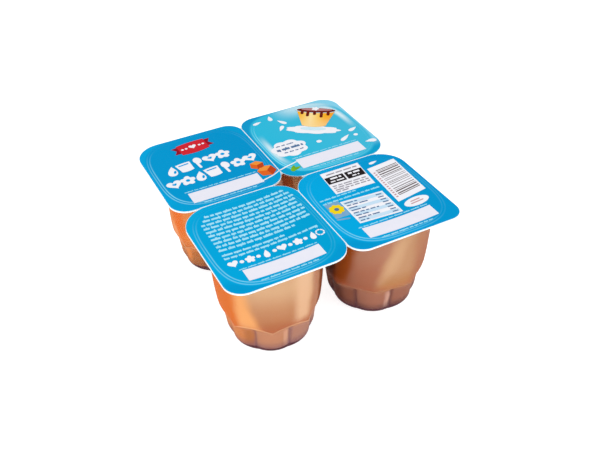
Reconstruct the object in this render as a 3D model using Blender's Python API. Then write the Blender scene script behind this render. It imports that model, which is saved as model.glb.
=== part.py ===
"""Four-pack of creme caramel: a clear tray of four fluted cups, sealed with foil lids.

The tray is one thermoformed sheet. Each cup is round at the mouth, turns eight-sided on
the way down to a ledge, and ends in a band of eight rounded flutes. Every cup holds set
custard over a layer of caramel, and has its own foil lid. Lengths are in metres, +Z is up,
and the origin is on the floor under the middle of the pack.
"""
from math import acos, cos, pi, radians, sin

import bmesh
import bpy

MM = 0.001

# The pack: four lids side by side, joined along two scored lines.
PITCH_X = 64.0 * MM
PITCH_Y = 70.0 * MM
FLANGE_TOP = 64.6 * MM
FLANGE_THICKNESS = 0.9 * MM
WALL = 0.6 * MM
GAP = 0.3 * MM
FOIL = 0.3 * MM
SCORE_WIDTH = 0.5 * MM
FOIL_INSET = 0.2 * MM
NOTCH_HALF_WIDTH = 0.4 * MM

# One cup, from its mouth down to its foot, with z measured from the floor.
MOUTH_R = 29.2 * MM
SHOULDER_Z = 48.0 * MM
SHOULDER_R = 28.6 * MM
WAIST_Z = 36.0 * MM
WAIST_R = 27.9 * MM
RIDGE_Z = 27.2 * MM
RIDGE_R = 27.1 * MM
LEDGE_Z = 23.0 * MM
LEDGE_R = 25.9 * MM
LEDGE_DIP = 1.1 * MM
BAND_Z = 20.2 * MM
BAND_TOP_R = 23.6 * MM
BAND_R = 23.2 * MM
FOOT_FILLET = 10.0 * MM
FOOT_RIM_R = 11.7 * MM
FOOT_RECESS_R = 10.5 * MM
FOOT_RECESS = 0.8 * MM

# How far each ring of the upper body has turned from round (0) to eight-sided (1).
SHOULDER_SHARPNESS = 0.2
WAIST_SHARPNESS = 0.45
RIDGE_SHARPNESS = 0.6
LEDGE_SHARPNESS = 0.8

SIDES = 8
SIDE_ANGLE = 2 * pi / SIDES
FLUTE_DEPTH = 0.075
FLUTE_CENTRE = SIDE_ANGLE / 2

# What is in a cup.
FILL_Z = 60.5 * MM
CARAMEL_TOP = 7.6 * MM

OUTER_SEGMENTS = 48
INNER_SEGMENTS = 32
FILLET_STEPS = 4
CORNER_STEPS = 7

# Each cup: which way it lies from the middle, how far it sits off its lid's centre along +X,
# how wide it is beside the sizes above, how far it is turned in the mould, and its flange's
# corner radii in mm, anticlockwise from the corner nearest -X -Y.
CUPS = {
    "front": {"side": (-1, -1), "shift": 1.8 * MM, "width": 0.99, "turn": 0.0,
              "corners": (9.6, 11.5, 13, 17)},
    "right": {"side": (1, -1), "shift": 0.1 * MM, "width": 1.05, "turn": radians(-6),
              "corners": (9, 8, 15, 14)},
    "left": {"side": (-1, 1), "shift": 2.4 * MM, "width": 0.97, "turn": 0.0,
             "corners": (10, 11.5, 9.6, 14)},
    "back": {"side": (1, 1), "shift": 0.6 * MM, "width": 1.0, "turn": 0.0,
             "corners": (11, 13.5, 10, 10)},
}

COLOURS = {
    "clear_plastic": ((0.86, 0.86, 0.84), 0.15, 0.0),
    "printed_foil": ((0.0, 0.36, 0.72), 0.35, 0.2),
    "custard": ((0.80, 0.52, 0.27), 0.45, 0.0),
    "caramel": ((0.20, 0.07, 0.03), 0.25, 0.0),
}


def clear_scene():
    """Start from an empty scene."""
    for old in list(bpy.data.objects):
        bpy.data.objects.remove(old, do_unlink=True)


def material(name):
    """A plain finish from COLOURS."""
    found = bpy.data.materials.get(name)
    if found:
        return found
    colour, roughness, metallic = COLOURS[name]
    made = bpy.data.materials.new(name)
    made.use_nodes = True
    shader = made.node_tree.nodes["Principled BSDF"]
    shader.inputs["Base Color"].default_value = (*colour, 1.0)
    shader.inputs["Roughness"].default_value = roughness
    shader.inputs["Metallic"].default_value = metallic
    return made


def finish(bm, name, material_name, smooth_angle=30.0):
    """Turn a bmesh into a named, shaded object, its bent four-sided faces split the short way."""
    bmesh.ops.triangulate(bm, faces=bm.faces, quad_method="SHORT_EDGE")
    bmesh.ops.recalc_face_normals(bm, faces=bm.faces)
    mesh = bpy.data.meshes.new(name)
    bm.to_mesh(mesh)
    bm.free()
    mesh.materials.append(material(material_name))
    mesh.shade_smooth()
    mesh.set_sharp_from_angle(angle=radians(smooth_angle))
    thing = bpy.data.objects.new(name, mesh)
    bpy.context.scene.collection.objects.link(thing)
    return thing


def angles(segments):
    """Evenly spaced angles round a cup."""
    return [2 * pi * index / segments for index in range(segments)]


def octagon(angle, corner):
    """Radius of a unit eight-sided outline that has one corner at the given angle."""
    from_flat = abs((angle - corner) % SIDE_ANGLE - SIDE_ANGLE / 2)
    return cos(SIDE_ANGLE / 2) / cos(from_flat)


def flute(angle):
    """Radius of a unit outline of rounded flutes, which meet in sharp valleys."""
    off = ((angle - FLUTE_CENTRE + SIDE_ANGLE / 2) % SIDE_ANGLE - SIDE_ANGLE / 2) / (SIDE_ANGLE / 2)
    return 1 - FLUTE_DEPTH * off * off


def body_ring(segments, z, radius, sharpness, inset):
    """A ring of the upper body: round at sharpness 0, eight-sided at 1, ridges over valleys."""
    ring = []
    for angle in angles(segments):
        shape = 1 - sharpness * (1 - octagon(angle, 0.0))
        ring.append(((radius - inset) * shape, z))
    return ring


def ledge_ring(segments, inset):
    """The ledge's rim: an eight-sided outline whose corners dip over the flutes' middles."""
    ring = []
    flat = cos(SIDE_ANGLE / 2)
    for angle in angles(segments):
        outline = octagon(angle, FLUTE_CENTRE)
        shape = 1 - LEDGE_SHARPNESS * (1 - outline)
        dip = LEDGE_DIP * (outline - flat) / (1 - flat)
        ring.append(((LEDGE_R - inset) * shape, LEDGE_Z - dip + inset))
    return ring


def flute_ring(segments, z, radius, depth=1.0):
    """A ring of the fluted band. A depth of 0 makes it round."""
    return [(radius * (1 - depth * (1 - flute(angle))), z) for angle in angles(segments)]


def cup_rings(segments, inset, top_z):
    """All rings of a cup's wall, moved in by inset, from its mouth to its recessed foot."""
    rings = [
        body_ring(segments, top_z, MOUTH_R, 0.0, inset),
        body_ring(segments, SHOULDER_Z, SHOULDER_R, SHOULDER_SHARPNESS, inset),
        body_ring(segments, WAIST_Z, WAIST_R, WAIST_SHARPNESS, inset),
        body_ring(segments, RIDGE_Z + inset / 2, RIDGE_R, RIDGE_SHARPNESS, inset),
        ledge_ring(segments, inset),
        flute_ring(segments, BAND_Z + inset, BAND_TOP_R - inset),
    ]
    fillet = FOOT_FILLET - inset
    middle_r = BAND_R - FOOT_FILLET
    for step in range(FILLET_STEPS + 1):
        turn = pi / 2 * step / FILLET_STEPS
        radius = middle_r + fillet * cos(turn)
        depth = 1 - step / (FILLET_STEPS + 1)
        rings.append(flute_ring(segments, FOOT_FILLET - fillet * sin(turn), radius, depth))
    rings.append(flute_ring(segments, inset, FOOT_RIM_R, 0.0))
    rings.append(flute_ring(segments, inset + FOOT_RECESS, FOOT_RECESS_R, 0.0))
    return rings


def cut_ring(rings, z):
    """The ring where a wall crosses a level, read between the two rings about it."""
    for above, below in zip(rings, rings[1:]):
        if min(height for _, height in above) >= z >= max(height for _, height in below):
            cut = []
            for (r_above, z_above), (r_below, z_below) in zip(above, below):
                share = (z_above - z) / (z_above - z_below)
                cut.append((r_above + share * (r_below - r_above), z))
            return cut
    raise ValueError("no wall at this level")


def between(rings, top, bottom):
    """The part of a wall between two levels."""
    inside = [ring for ring in rings if all(bottom + GAP < z < top - GAP for _, z in ring)]
    return [cut_ring(rings, top), *inside, cut_ring(rings, bottom)]


def through_foot(rings, top):
    """The part of a wall below one level, with the foot under it."""
    return [cut_ring(rings, top), *(ring for ring in rings if all(z < top - GAP for _, z in ring))]


def cup_centre(cup):
    """Where a cup's axis stands."""
    return cup["side"][0] * PITCH_X / 2 + cup["shift"], cup["side"][1] * PITCH_Y / 2


def add_ring(bm, ring, cup):
    """Add one ring's vertices, turned, widened and moved to its cup."""
    middle_x, middle_y = cup_centre(cup)
    placed = []
    for angle, (radius, z) in zip(angles(len(ring)), ring):
        x = middle_x + cup["width"] * radius * cos(angle + cup["turn"])
        y = middle_y + cup["width"] * radius * sin(angle + cup["turn"])
        placed.append(bm.verts.new((x, y, z)))
    return placed


def skin(bm, first, second):
    """Join two loops of equal length with faces."""
    for index in range(len(first)):
        after = (index + 1) % len(first)
        bm.faces.new((first[index], first[after], second[after], second[index]))


def cap(bm, loop):
    """Close a loop with triangles to a vertex in its middle."""
    count = len(loop)
    middle = bm.verts.new([sum(vertex.co[axis] for vertex in loop) / count for axis in range(3)])
    for index in range(count):
        bm.faces.new((loop[index], loop[(index + 1) % count], middle))


def add_wall(bm, rings, cup):
    """Add the rings of one wall and the faces between them. Gives the loops, top first."""
    loops = [add_ring(bm, ring, cup) for ring in rings]
    for upper, lower in zip(loops, loops[1:]):
        skin(bm, upper, lower)
    return loops


def corner_arc(cup, corner, start=0.0, end=90.0, inset=0.0):
    """Points of one rounded flange corner, from start to end degrees of its quarter turn."""
    side_x, side_y = ((-1, -1), (1, -1), (1, 1), (-1, 1))[corner]
    radius = cup["corners"][corner] * MM
    middle_x = cup["side"][0] * PITCH_X / 2 + side_x * (PITCH_X / 2 - radius)
    middle_y = cup["side"][1] * PITCH_Y / 2 + side_y * (PITCH_Y / 2 - radius)
    points = []
    for step in range(CORNER_STEPS + 1):
        degrees = start + (end - start) * step / CORNER_STEPS
        turn = radians(180 + 90 * corner + degrees)
        points.append((middle_x + (radius - inset) * cos(turn), middle_y + (radius - inset) * sin(turn)))
    return points


def notch_angle(cup, corner):
    """How many degrees of a corner's turn lie closer to a scored line than a notch's end."""
    return acos(1 - NOTCH_HALF_WIDTH / (cup["corners"][corner] * MM)) * 180 / pi


def joined_arc(name, corner, seam_before, seam_after):
    """A corner's arc, stopped short where it runs into a scored line."""
    cup = CUPS[name]
    short = notch_angle(cup, corner)
    start = short if seam_before else 0.0
    end = 90 - short if seam_after else 90.0
    return corner_arc(cup, corner, start, end)


def pack_outline():
    """The flange's outside, anticlockwise, with a notch at each end of the scored lines."""
    route = [
        ("front", 0, False, False), ("front", 1, False, True),
        ("right", 0, True, False), ("right", 1, False, False), ("right", 2, False, True),
        ("back", 1, True, False), ("back", 2, False, False), ("back", 3, False, True),
        ("left", 2, True, False), ("left", 3, False, False), ("left", 0, False, True),
        ("front", 3, True, False),
    ]
    return [point for stop in route for point in joined_arc(*stop)]


def star_outline():
    """The star-shaped hole in the middle, where the four inner corners meet."""
    points = []
    for name, corner in (("front", 2), ("left", 1), ("back", 0), ("right", 3)):
        points += joined_arc(name, corner, True, True)
    return points


def flat_loop(bm, outline, z):
    """Add a flat outline's vertices at one height."""
    return [bm.verts.new((x, y, z)) for x, y in outline]


def fill_between(bm, loops):
    """Fill the flat area between an outline and the holes in it."""
    edges = []
    for loop in loops:
        for index, vertex in enumerate(loop):
            after = loop[(index + 1) % len(loop)]
            edges.append(bm.edges.get((vertex, after)) or bm.edges.new((vertex, after)))
    bmesh.ops.triangle_fill(bm, edges=edges, use_beauty=True, normal=(0, 0, 1))


def make_tray():
    """The one thermoformed sheet: its flange, and the inside and outside of four cups."""
    bm = bmesh.new()
    under = FLANGE_TOP - FLANGE_THICKNESS
    top_loops = [flat_loop(bm, pack_outline(), FLANGE_TOP), flat_loop(bm, star_outline(), FLANGE_TOP)]
    under_loops = [flat_loop(bm, pack_outline(), under), flat_loop(bm, star_outline(), under)]
    for upper, lower in zip(top_loops, under_loops):
        skin(bm, upper, lower)
    for cup in CUPS.values():
        inside = add_wall(bm, cup_rings(INNER_SEGMENTS, WALL, FLANGE_TOP), cup)
        outside = add_wall(bm, cup_rings(OUTER_SEGMENTS, 0.0, under), cup)
        cap(bm, inside[-1])
        cap(bm, outside[-1])
        top_loops.append(inside[0])
        under_loops.append(outside[0])
    fill_between(bm, top_loops)
    fill_between(bm, under_loops)
    return finish(bm, "cup_tray", "clear_plastic")


def make_contents(name, kind, top, bottom=None):
    """A closed body that fills one cup between two levels, just clear of its wall.

    With no bottom it fills the cup down to its foot.
    """
    rings = cup_rings(INNER_SEGMENTS, WALL + GAP, FLANGE_TOP)
    part = between(rings, top, bottom) if bottom is not None else through_foot(rings, top)
    bm = bmesh.new()
    loops = add_wall(bm, part, CUPS[name])
    cap(bm, loops[0])
    cap(bm, loops[-1])
    return finish(bm, f"{kind}_{name}", kind)


def make_lid(name):
    """One cup's foil, a rounded sheet that stops at the scored lines."""
    cup = CUPS[name]
    outline = []
    for corner in range(4):
        outline += corner_arc(cup, corner, inset=FOIL_INSET)
    score = SCORE_WIDTH / 2
    side_x, side_y = cup["side"]
    trimmed = [(side_x * max(side_x * x, score), side_y * max(side_y * y, score)) for x, y in outline]
    bm = bmesh.new()
    upper = flat_loop(bm, trimmed, FLANGE_TOP + GAP + FOIL)
    lower = flat_loop(bm, trimmed, FLANGE_TOP + GAP)
    skin(bm, upper, lower)
    bm.faces.new(upper)
    bm.faces.new(lower)
    return finish(bm, f"lid_{name}", "printed_foil")


def main():
    """Build the pack."""
    clear_scene()
    make_tray()
    for name in CUPS:
        make_contents(name, "caramel", CARAMEL_TOP)
        make_contents(name, "custard", FILL_Z, CARAMEL_TOP + GAP)
        make_lid(name)


main()
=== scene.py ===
# %% [markdown]
# A four-pack of creme caramel: a clear plastic tray of four fluted cups, filled with custard
# over caramel and sealed with printed foil lids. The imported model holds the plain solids. This
# script loads them as a fixed frame and dresses them: it remakes the tray, the filling and the
# lids as finer meshes, prints the lids with flat shapes, and gives everything a finish.

# %% Load the frame
import random
from math import acos, atan2, ceil, cos, degrees, exp, hypot, pi, radians, sin

import bmesh
import bpy
from mathutils import Matrix, Vector


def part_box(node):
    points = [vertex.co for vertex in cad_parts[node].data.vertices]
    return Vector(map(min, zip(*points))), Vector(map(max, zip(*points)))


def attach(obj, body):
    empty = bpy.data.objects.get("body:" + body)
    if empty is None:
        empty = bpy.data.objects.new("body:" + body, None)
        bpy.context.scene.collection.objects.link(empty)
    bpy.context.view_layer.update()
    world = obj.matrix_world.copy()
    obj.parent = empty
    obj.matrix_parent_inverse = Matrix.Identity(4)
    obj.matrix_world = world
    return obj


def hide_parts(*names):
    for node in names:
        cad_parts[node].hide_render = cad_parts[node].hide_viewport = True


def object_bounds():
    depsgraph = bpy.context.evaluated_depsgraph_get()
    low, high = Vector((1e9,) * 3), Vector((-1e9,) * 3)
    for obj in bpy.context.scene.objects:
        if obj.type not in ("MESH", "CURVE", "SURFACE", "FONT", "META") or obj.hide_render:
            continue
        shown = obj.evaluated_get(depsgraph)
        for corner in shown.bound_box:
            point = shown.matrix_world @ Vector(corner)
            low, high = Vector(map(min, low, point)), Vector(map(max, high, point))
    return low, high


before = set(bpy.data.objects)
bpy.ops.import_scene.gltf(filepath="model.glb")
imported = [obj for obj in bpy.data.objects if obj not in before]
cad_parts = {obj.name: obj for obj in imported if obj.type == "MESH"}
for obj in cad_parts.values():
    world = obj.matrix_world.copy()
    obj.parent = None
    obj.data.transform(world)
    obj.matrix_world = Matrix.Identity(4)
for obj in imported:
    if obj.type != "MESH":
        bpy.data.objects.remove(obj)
cad_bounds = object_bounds()
print("nodes:", sorted(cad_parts))

# %% [markdown]
# Most sizes come from the frame itself, so the looks can't drift from the solids. The pack's box
# gives the lid pitch, because two lids make up its width and two its length. Lengths here are
# in millimetres, as a packaging drawing has them, and MM turns them into Blender's metres.

# %% Sizes read from the frame
MM = 0.001
pack_low, pack_high = (corner / MM for corner in cad_bounds)
LID_X = (pack_high.x - pack_low.x) / 2
LID_Y = (pack_high.y - pack_low.y) / 2
LID_TOP = pack_high.z
FLANGE_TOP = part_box("cup_tray")[1].z / MM
FILL_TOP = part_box("custard_front")[1].z / MM
CARAMEL_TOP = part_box("caramel_front")[1].z / MM
print(f"lids {LID_X:.1f} x {LID_Y:.1f} mm, flange top at {FLANGE_TOP:.1f}, lid top at {LID_TOP:.1f}")

# %% [markdown]
# The four places in the pack differ a little, as the real mould and the real sealing do. One
# table holds what is particular to each: how far its cup sits off the lid's centre, how wide it
# is, how far it is turned, how deep its ledge dips, how much its upper wall tapers, and the lid's
# four corner roundings. Loops over this table make everything that comes in fours.

# %% The four places
SIDES_OF = {"front": (-1, -1), "right": (1, -1), "left": (-1, 1), "back": (1, 1)}
PLACES = {
    # shift in mm, width as a factor, turn in degrees, dip in mm, taper in mm per mm, corners in mm
    "front": {
        "shift": 1.4, "width": 1.015, "turn": 0, "dip": 1.5, "taper": 0,
        "corners": (9.6, 11.5, 13, 17),
    },
    "right": {
        "shift": -0.2, "width": 1.07, "turn": -6, "dip": 0.1, "taper": 0,
        "corners": (9, 8, 15, 14),
    },
    "left": {
        "shift": 1.2, "width": 0.965, "turn": 0, "dip": 1.1, "taper": 0.025,
        "corners": (10, 11.5, 9.6, 14),
    },
    "back": {
        "shift": 0.6, "width": 1.0, "turn": 0, "dip": 1.1, "taper": 0,
        "corners": (11, 13.5, 10, 10),
    },
}


def cup_centre(name):
    """Where a cup's axis stands, in mm."""
    side_x, side_y = SIDES_OF[name]
    return side_x * LID_X / 2 + PLACES[name]["shift"], side_y * LID_Y / 2


def lid_origin(name):
    """The corner of a lid that its print is measured from, nearest -X -Y."""
    side_x, side_y = SIDES_OF[name]
    return min(side_x, 0) * LID_X, min(side_y, 0) * LID_Y


for name in PLACES:
    print(name, "cup axis at", cup_centre(name))

# %% [markdown]
# The camera looks down on the pack from its near corner. A real camera's place could be found by
# trial, but the straight lid edges make a good ruler: these values come from matching them. The
# small roll is in the photograph too. Location, yaw, tilt and roll are kept as plain numbers, in
# millimetres and degrees, and three simple turns make up the rotation, which is easier to read
# than a matrix.

# %% Camera
CAMERA_PLACE = (-147.9, -308.7, 299.6)
CAMERA_YAW = 26.49
CAMERA_TILT = 37.77
CAMERA_ROLL = -1.75
CAMERA_LENS = 46.6
NEAREST_SEEN = 0.01

camera = bpy.data.objects.new("camera", bpy.data.cameras.new("camera"))
camera.data.lens = CAMERA_LENS
camera.data.clip_start = NEAREST_SEEN
yaw = Matrix.Rotation(radians(-CAMERA_YAW), 4, "Z")
tilt = Matrix.Rotation(radians(90 - CAMERA_TILT), 4, "X")
roll = Matrix.Rotation(radians(CAMERA_ROLL), 4, "Z")
camera.matrix_world = Matrix.Translation(Vector(CAMERA_PLACE) * MM) @ yaw @ tilt @ roll
bpy.context.scene.collection.objects.link(camera)
bpy.context.scene.camera = camera
print("camera at", [round(value, 3) for value in camera.location])

# %% [markdown]
# A finish is a small network of shader nodes. Wiring nodes by hand makes long, dull code, so this
# class wraps one socket and lets Python's own operators add the Math nodes: 1 - mask just works.
# Every other node comes from one method, which takes its type, its settings and its sockets.


# %% Shader maths as Python expressions
class Value:
    """One output of a node tree. Arithmetic on it adds Math nodes."""

    def __init__(self, tree, socket=None):
        self.tree = tree
        self.socket = socket

    def node(self, kind, settings=None, sockets=None, output=0):
        """Add a node, with its settings first and then its sockets' values or links."""
        made = self.tree.nodes.new("ShaderNode" + kind)
        for name, setting in (settings or {}).items():
            if name == "stops":
                set_stops(made.color_ramp, setting)
            else:
                setattr(made, name, setting)
        for name, value in (sockets or {}).items():
            if isinstance(value, Value):
                self.tree.links.new(value.socket, made.inputs[name])
            else:
                made.inputs[name].default_value = value
        return Value(self.tree, made.outputs[output])

    def math(self, operation, first, second=0.0):
        return self.node("Math", {"operation": operation}, {0: first, 1: second})

    def __add__(self, other):
        return self.math("ADD", self, other)

    def __radd__(self, other):
        return self.math("ADD", other, self)

    def __sub__(self, other):
        return self.math("SUBTRACT", self, other)

    def __rsub__(self, other):
        return self.math("SUBTRACT", other, self)

    def __mul__(self, other):
        return self.math("MULTIPLY", self, other)

    def __rmul__(self, other):
        return self.math("MULTIPLY", other, self)

    def __truediv__(self, other):
        return self.math("DIVIDE", self, other)

    def step(self, low, high):
        """0 below low, 1 above high and smooth between them."""
        settings = {"interpolation_type": "SMOOTHSTEP"}
        return self.node("MapRange", settings, {"Value": self, "From Min": low, "From Max": high})

    def near(self, middle, reach):
        """1 where the value is at middle, falling to 0 at reach to either side."""
        return 1 - self.math("ABSOLUTE", self - middle).step(0.0, reach)


def set_stops(ramp, stops):
    """Give a colour ramp its stops, as pairs of a place and a colour."""
    while len(ramp.elements) < len(stops):
        ramp.elements.new(1.0)
    for element, (place, shade) in zip(ramp.elements, stops):
        element.position = place
        element.color = shade


def blend(mask, first, second):
    """Colour first where the mask is 0, second where it is 1."""
    return mask.node("Mix", {"data_type": "RGBA"}, {0: mask, 6: first, 7: second}, output=2)


print("shader helpers ready")

# %% [markdown]
# Colours read from a photograph are screen colours. Blender's shaders work with linear light, so
# one function turns the familiar hex code of a colour into the four numbers that a shader wants.


# %% Colour codes
def colour(code):
    """A shader colour from a hex code such as 00A0DC."""
    parts = [int(code[start:start + 2], 16) / 255 for start in (0, 2, 4)]
    linear = [part / 12.92 if part <= 0.04045 else ((part + 0.055) / 1.055) ** 2.4 for part in parts]
    return (*linear, 1.0)


def new_finish(name):
    """An empty material and a Value that its nodes start from."""
    material = bpy.data.materials.new(name)
    material.use_nodes = True
    material.node_tree.nodes.clear()
    return material, Value(material.node_tree)


def show(start, shader):
    """Connect a shader to the material's output."""
    made = start.tree.nodes.new("ShaderNodeOutputMaterial")
    start.tree.links.new(shader.socket, made.inputs["Surface"])


def place_in_mm(start):
    """The x, y and z of the shaded point, in the pack's own millimetres."""
    point = start.node("TexCoord", output=3)
    scaled = start.node("VectorMath", {"operation": "SCALE"}, {0: point, "Scale": 1 / MM})
    return scaled, [start.node("SeparateXYZ", None, {0: scaled}, output=axis) for axis in range(3)]


def noise(start, point, size):
    """Soft cloudy noise whose blotches are about size mm across."""
    return start.node("TexNoise", None, {"Vector": point, "Scale": 1 / size, "Detail": 2.0})


print("00A0DC is", [round(part, 3) for part in colour("00A0DC")])

# %% [markdown]
# Pieces are made as bmesh loops: rings of points joined by faces. These helpers turn such a mesh
# into an object that rides on the pack's only body, so that it belongs to the part.


# %% Mesh helpers
def keep(piece, slot, *nodes):
    """Make a piece part of the pack, standing for the given nodes of the frame."""
    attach(piece, "root")
    if nodes:
        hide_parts(*nodes)
    return piece


def to_object(bm, name, materials, smooth_angle=40.0):
    """Turn a bmesh in mm into a shaded object in metres."""
    bmesh.ops.scale(bm, vec=(MM, MM, MM), verts=bm.verts)
    mesh = bpy.data.meshes.new(name)
    bm.to_mesh(mesh)
    bm.free()
    for material in materials:
        mesh.materials.append(material)
    mesh.shade_smooth()
    mesh.set_sharp_from_angle(angle=radians(smooth_angle))
    piece = bpy.data.objects.new(name, mesh)
    bpy.context.scene.collection.objects.link(piece)
    return piece


def add_loop(bm, points):
    """Add a closed loop of points."""
    return [bm.verts.new(point) for point in points]


def skin(bm, loops, closed_end=False):
    """Join each loop to the next with faces, and close the last one if asked."""
    faces = []
    for first, second in zip(loops, loops[1:]):
        for index in range(len(first)):
            after = (index + 1) % len(first)
            faces.append(bm.faces.new((first[index], first[after], second[after], second[index])))
    if closed_end:
        faces += fan(bm, loops[-1])
    return faces


def fan(bm, loop):
    """Close a loop with triangles to a vertex in its middle."""
    middle = bm.verts.new(sum((vertex.co for vertex in loop), Vector()) / len(loop))
    count = len(loop)
    return [bm.faces.new((loop[index], loop[(index + 1) % count], middle)) for index in range(count)]


print("mesh helpers ready")

# %% [markdown]
# A cup is round at its mouth and turns eight-sided towards a ledge, whose corners dip over the
# middles of eight rounded flutes. Its main sizes come first, as on a mould maker's drawing. They
# could stay inside the functions that use them, but named and side by side they are easier to
# compare and to change.

# %% The cup's sizes
MOUTH_R = 29.2
MOUTH_DROP = 0.3
# height, radius, and how far the ring is from round towards eight-sided
SHOULDER = (48.0, 28.5, 0.2)
WAIST = (36.0, 27.7, 0.2)
RIDGE = (27.2, 26.4, 0.0)
LEDGE_Z = 23.0
LEDGE_R = 26.0
LEDGE_SHARPNESS = 0.8
BAND_TOP_Z = 19.7
BAND_TOP_R = 24.25
BAND_R = 23.15
FOOT_FILLET = 11.0
FOOT_RIM_R = 11.7
FOOT_RECESS_R = 10.5
FOOT_RECESS = 0.8
SIDES = 8
SIDE_ANGLE = 2 * pi / SIDES
SIDE_DEGREES = 360 / SIDES
FLUTE_CENTRE = SIDE_ANGLE / 2
FLUTE_DEPTH = 0.075
FLUTE_FADE = 2.5
FILLET_STEPS = 6
CUP_SEGMENTS = 96
CUP_ANGLES = [2 * pi * index / CUP_SEGMENTS for index in range(CUP_SEGMENTS)]
print("a cup has", SIDES, "flutes, and", CUP_SEGMENTS, "points in each ring")

# %% [markdown]
# The wall is described by a stack of rings, and a ring gives a radius and a height for every
# angle. Such a form could be sculpted, but a rule for each ring keeps all four cups alike and
# clean, and puts the valleys between the flutes exactly where they should be.


# %% The cup's main rings
def octagon(angle, corner):
    """Radius of a unit eight-sided outline with one corner at the given angle."""
    from_flat = abs((angle - corner) % SIDE_ANGLE - SIDE_ANGLE / 2)
    return cos(SIDE_ANGLE / 2) / cos(from_flat)


def body_ring(z, radius, sharpness):
    """A ring of the upper body: round at sharpness 0, eight-sided at 1."""
    return [(radius * (1 - sharpness * (1 - octagon(angle, 0.0))), z) for angle in CUP_ANGLES]


def ledge_ring(dip, out=0.0, up=0.0):
    """The ledge's rim, whose corners dip over the flutes' middles, moved out and up a little."""
    flat = cos(SIDE_ANGLE / 2)
    ring = []
    for angle in CUP_ANGLES:
        outline = octagon(angle, FLUTE_CENTRE)
        lower = dip * (outline - flat) / (1 - flat)
        ring.append((LEDGE_R * (1 - LEDGE_SHARPNESS * (1 - outline)) + out, LEDGE_Z - lower + up))
    return ring


def flute_ring(z, radius, depth=1.0):
    """A ring of the fluted band. A depth of 0 makes it round."""
    ring = []
    for angle in CUP_ANGLES:
        off = ((angle - FLUTE_CENTRE + SIDE_ANGLE / 2) % SIDE_ANGLE) / (SIDE_ANGLE / 2) - 1
        ring.append((radius * (1 - depth * FLUTE_DEPTH * off * off), z))
    return ring


def foot_rings():
    """The fluted band and its turn into a round foot."""
    rings = [flute_ring(BAND_TOP_Z, BAND_TOP_R)]
    middle_r = BAND_R - FOOT_FILLET
    for step in range(FILLET_STEPS + 1):
        turn = pi / 2 * step / FILLET_STEPS
        depth = cos(turn) ** FLUTE_FADE
        rings.append(flute_ring(FOOT_FILLET * (1 - sin(turn)), middle_r + FOOT_FILLET * cos(turn), depth))
    rings.append(flute_ring(0.0, FOOT_RIM_R, 0.0))
    return rings


print("the ledges dip to", [LEDGE_Z - place["dip"] for place in PLACES.values()], "mm")

# %% [markdown]
# A few rings are enough to state the form, but not to show it smooth. A Catmull-Rom curve passes
# through every ring that it is given, unlike subdivision, which shrinks a cage. So the dense
# wall keeps to the main rings. The ledge gets a fine lip of its own, which catches the light.

# %% The dense wall
BODY_STEPS = 5
FOOT_STEPS = 2
# how far out and up from the ledge's rim each ring of the lip lies
LIP = ((0.02, 0.5), (0.2, 0.15), (0.2, -0.2), (-0.05, -0.5))


def curve_ring(rings, share):
    """A ring on the Catmull-Rom curve from the second of four rings to the third."""
    weights = (
        share * ((2 - share) * share - 1) / 2,
        (share * share * (3 * share - 5) + 2) / 2,
        share * ((4 - 3 * share) * share + 1) / 2,
        (share - 1) * share * share / 2,
    )
    ring = []
    for spots in zip(*rings):
        radius = sum(weight * spot[0] for weight, spot in zip(weights, spots))
        height = sum(weight * spot[1] for weight, spot in zip(weights, spots))
        ring.append((radius, height))
    return ring


def dense(rings, steps):
    """More rings, on a smooth curve through the given ones."""
    padded = [rings[0], *rings, rings[-1]]
    result = []
    for index in range(len(rings) - 1):
        result += [curve_ring(padded[index:index + 4], step / steps) for step in range(steps)]
    return result + [rings[-1]]


def wall_rings(dip):
    """All rings of a cup's outside, from its mouth to its recessed foot."""
    mouth = body_ring(FLANGE_TOP - MOUTH_DROP, MOUTH_R, 0.0)
    upper = [body_ring(*spot) for spot in (SHOULDER, WAIST, RIDGE)]
    body = dense([mouth, *upper, ledge_ring(dip)], BODY_STEPS)
    lip = [ledge_ring(dip, out, up) for out, up in LIP]
    recess = [flute_ring(FOOT_RECESS, radius, 0.0) for radius in (FOOT_RECESS_R, FOOT_RECESS_R / 2)]
    return body[:-1] + lip + dense(foot_rings(), FOOT_STEPS) + recess


WALL_RINGS = {name: wall_rings(place["dip"]) for name, place in PLACES.items()}
print(len(WALL_RINGS["front"]), "rings of", CUP_SEGMENTS, "points make a cup's wall")

# %% [markdown]
# The filling touches the wall, so no air gap shows. It reuses the cup's rings, moved inwards by
# a quarter of the wall's thickness: its skin then lies inside the plastic, as a liquid in a glass
# is modelled. The ring where the filling stops is read between the two rings about that level.

# %% Rings for the filling
WALL = 0.6
FILL_INSET = 0.15
RING_SPACE = 0.1


def cut_ring(rings, z):
    """The ring where a wall crosses a level, read between the two rings about it."""
    for above, below in zip(rings, rings[1:]):
        if min(height for _, height in above) >= z >= max(height for _, height in below):
            share = [(a[1] - z) / (a[1] - b[1]) for a, b in zip(above, below)]
            return [(a[0] + s * (b[0] - a[0]), z) for a, b, s in zip(above, below, share)]
    raise ValueError("no wall at this level")


def rings_between(rings, top, bottom):
    """The part of a wall between two levels."""
    low, high = bottom + RING_SPACE, top - RING_SPACE
    inside = [ring for ring in rings if all(low < z < high for _, z in ring)]
    return [cut_ring(rings, top), *inside, cut_ring(rings, bottom)]


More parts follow.
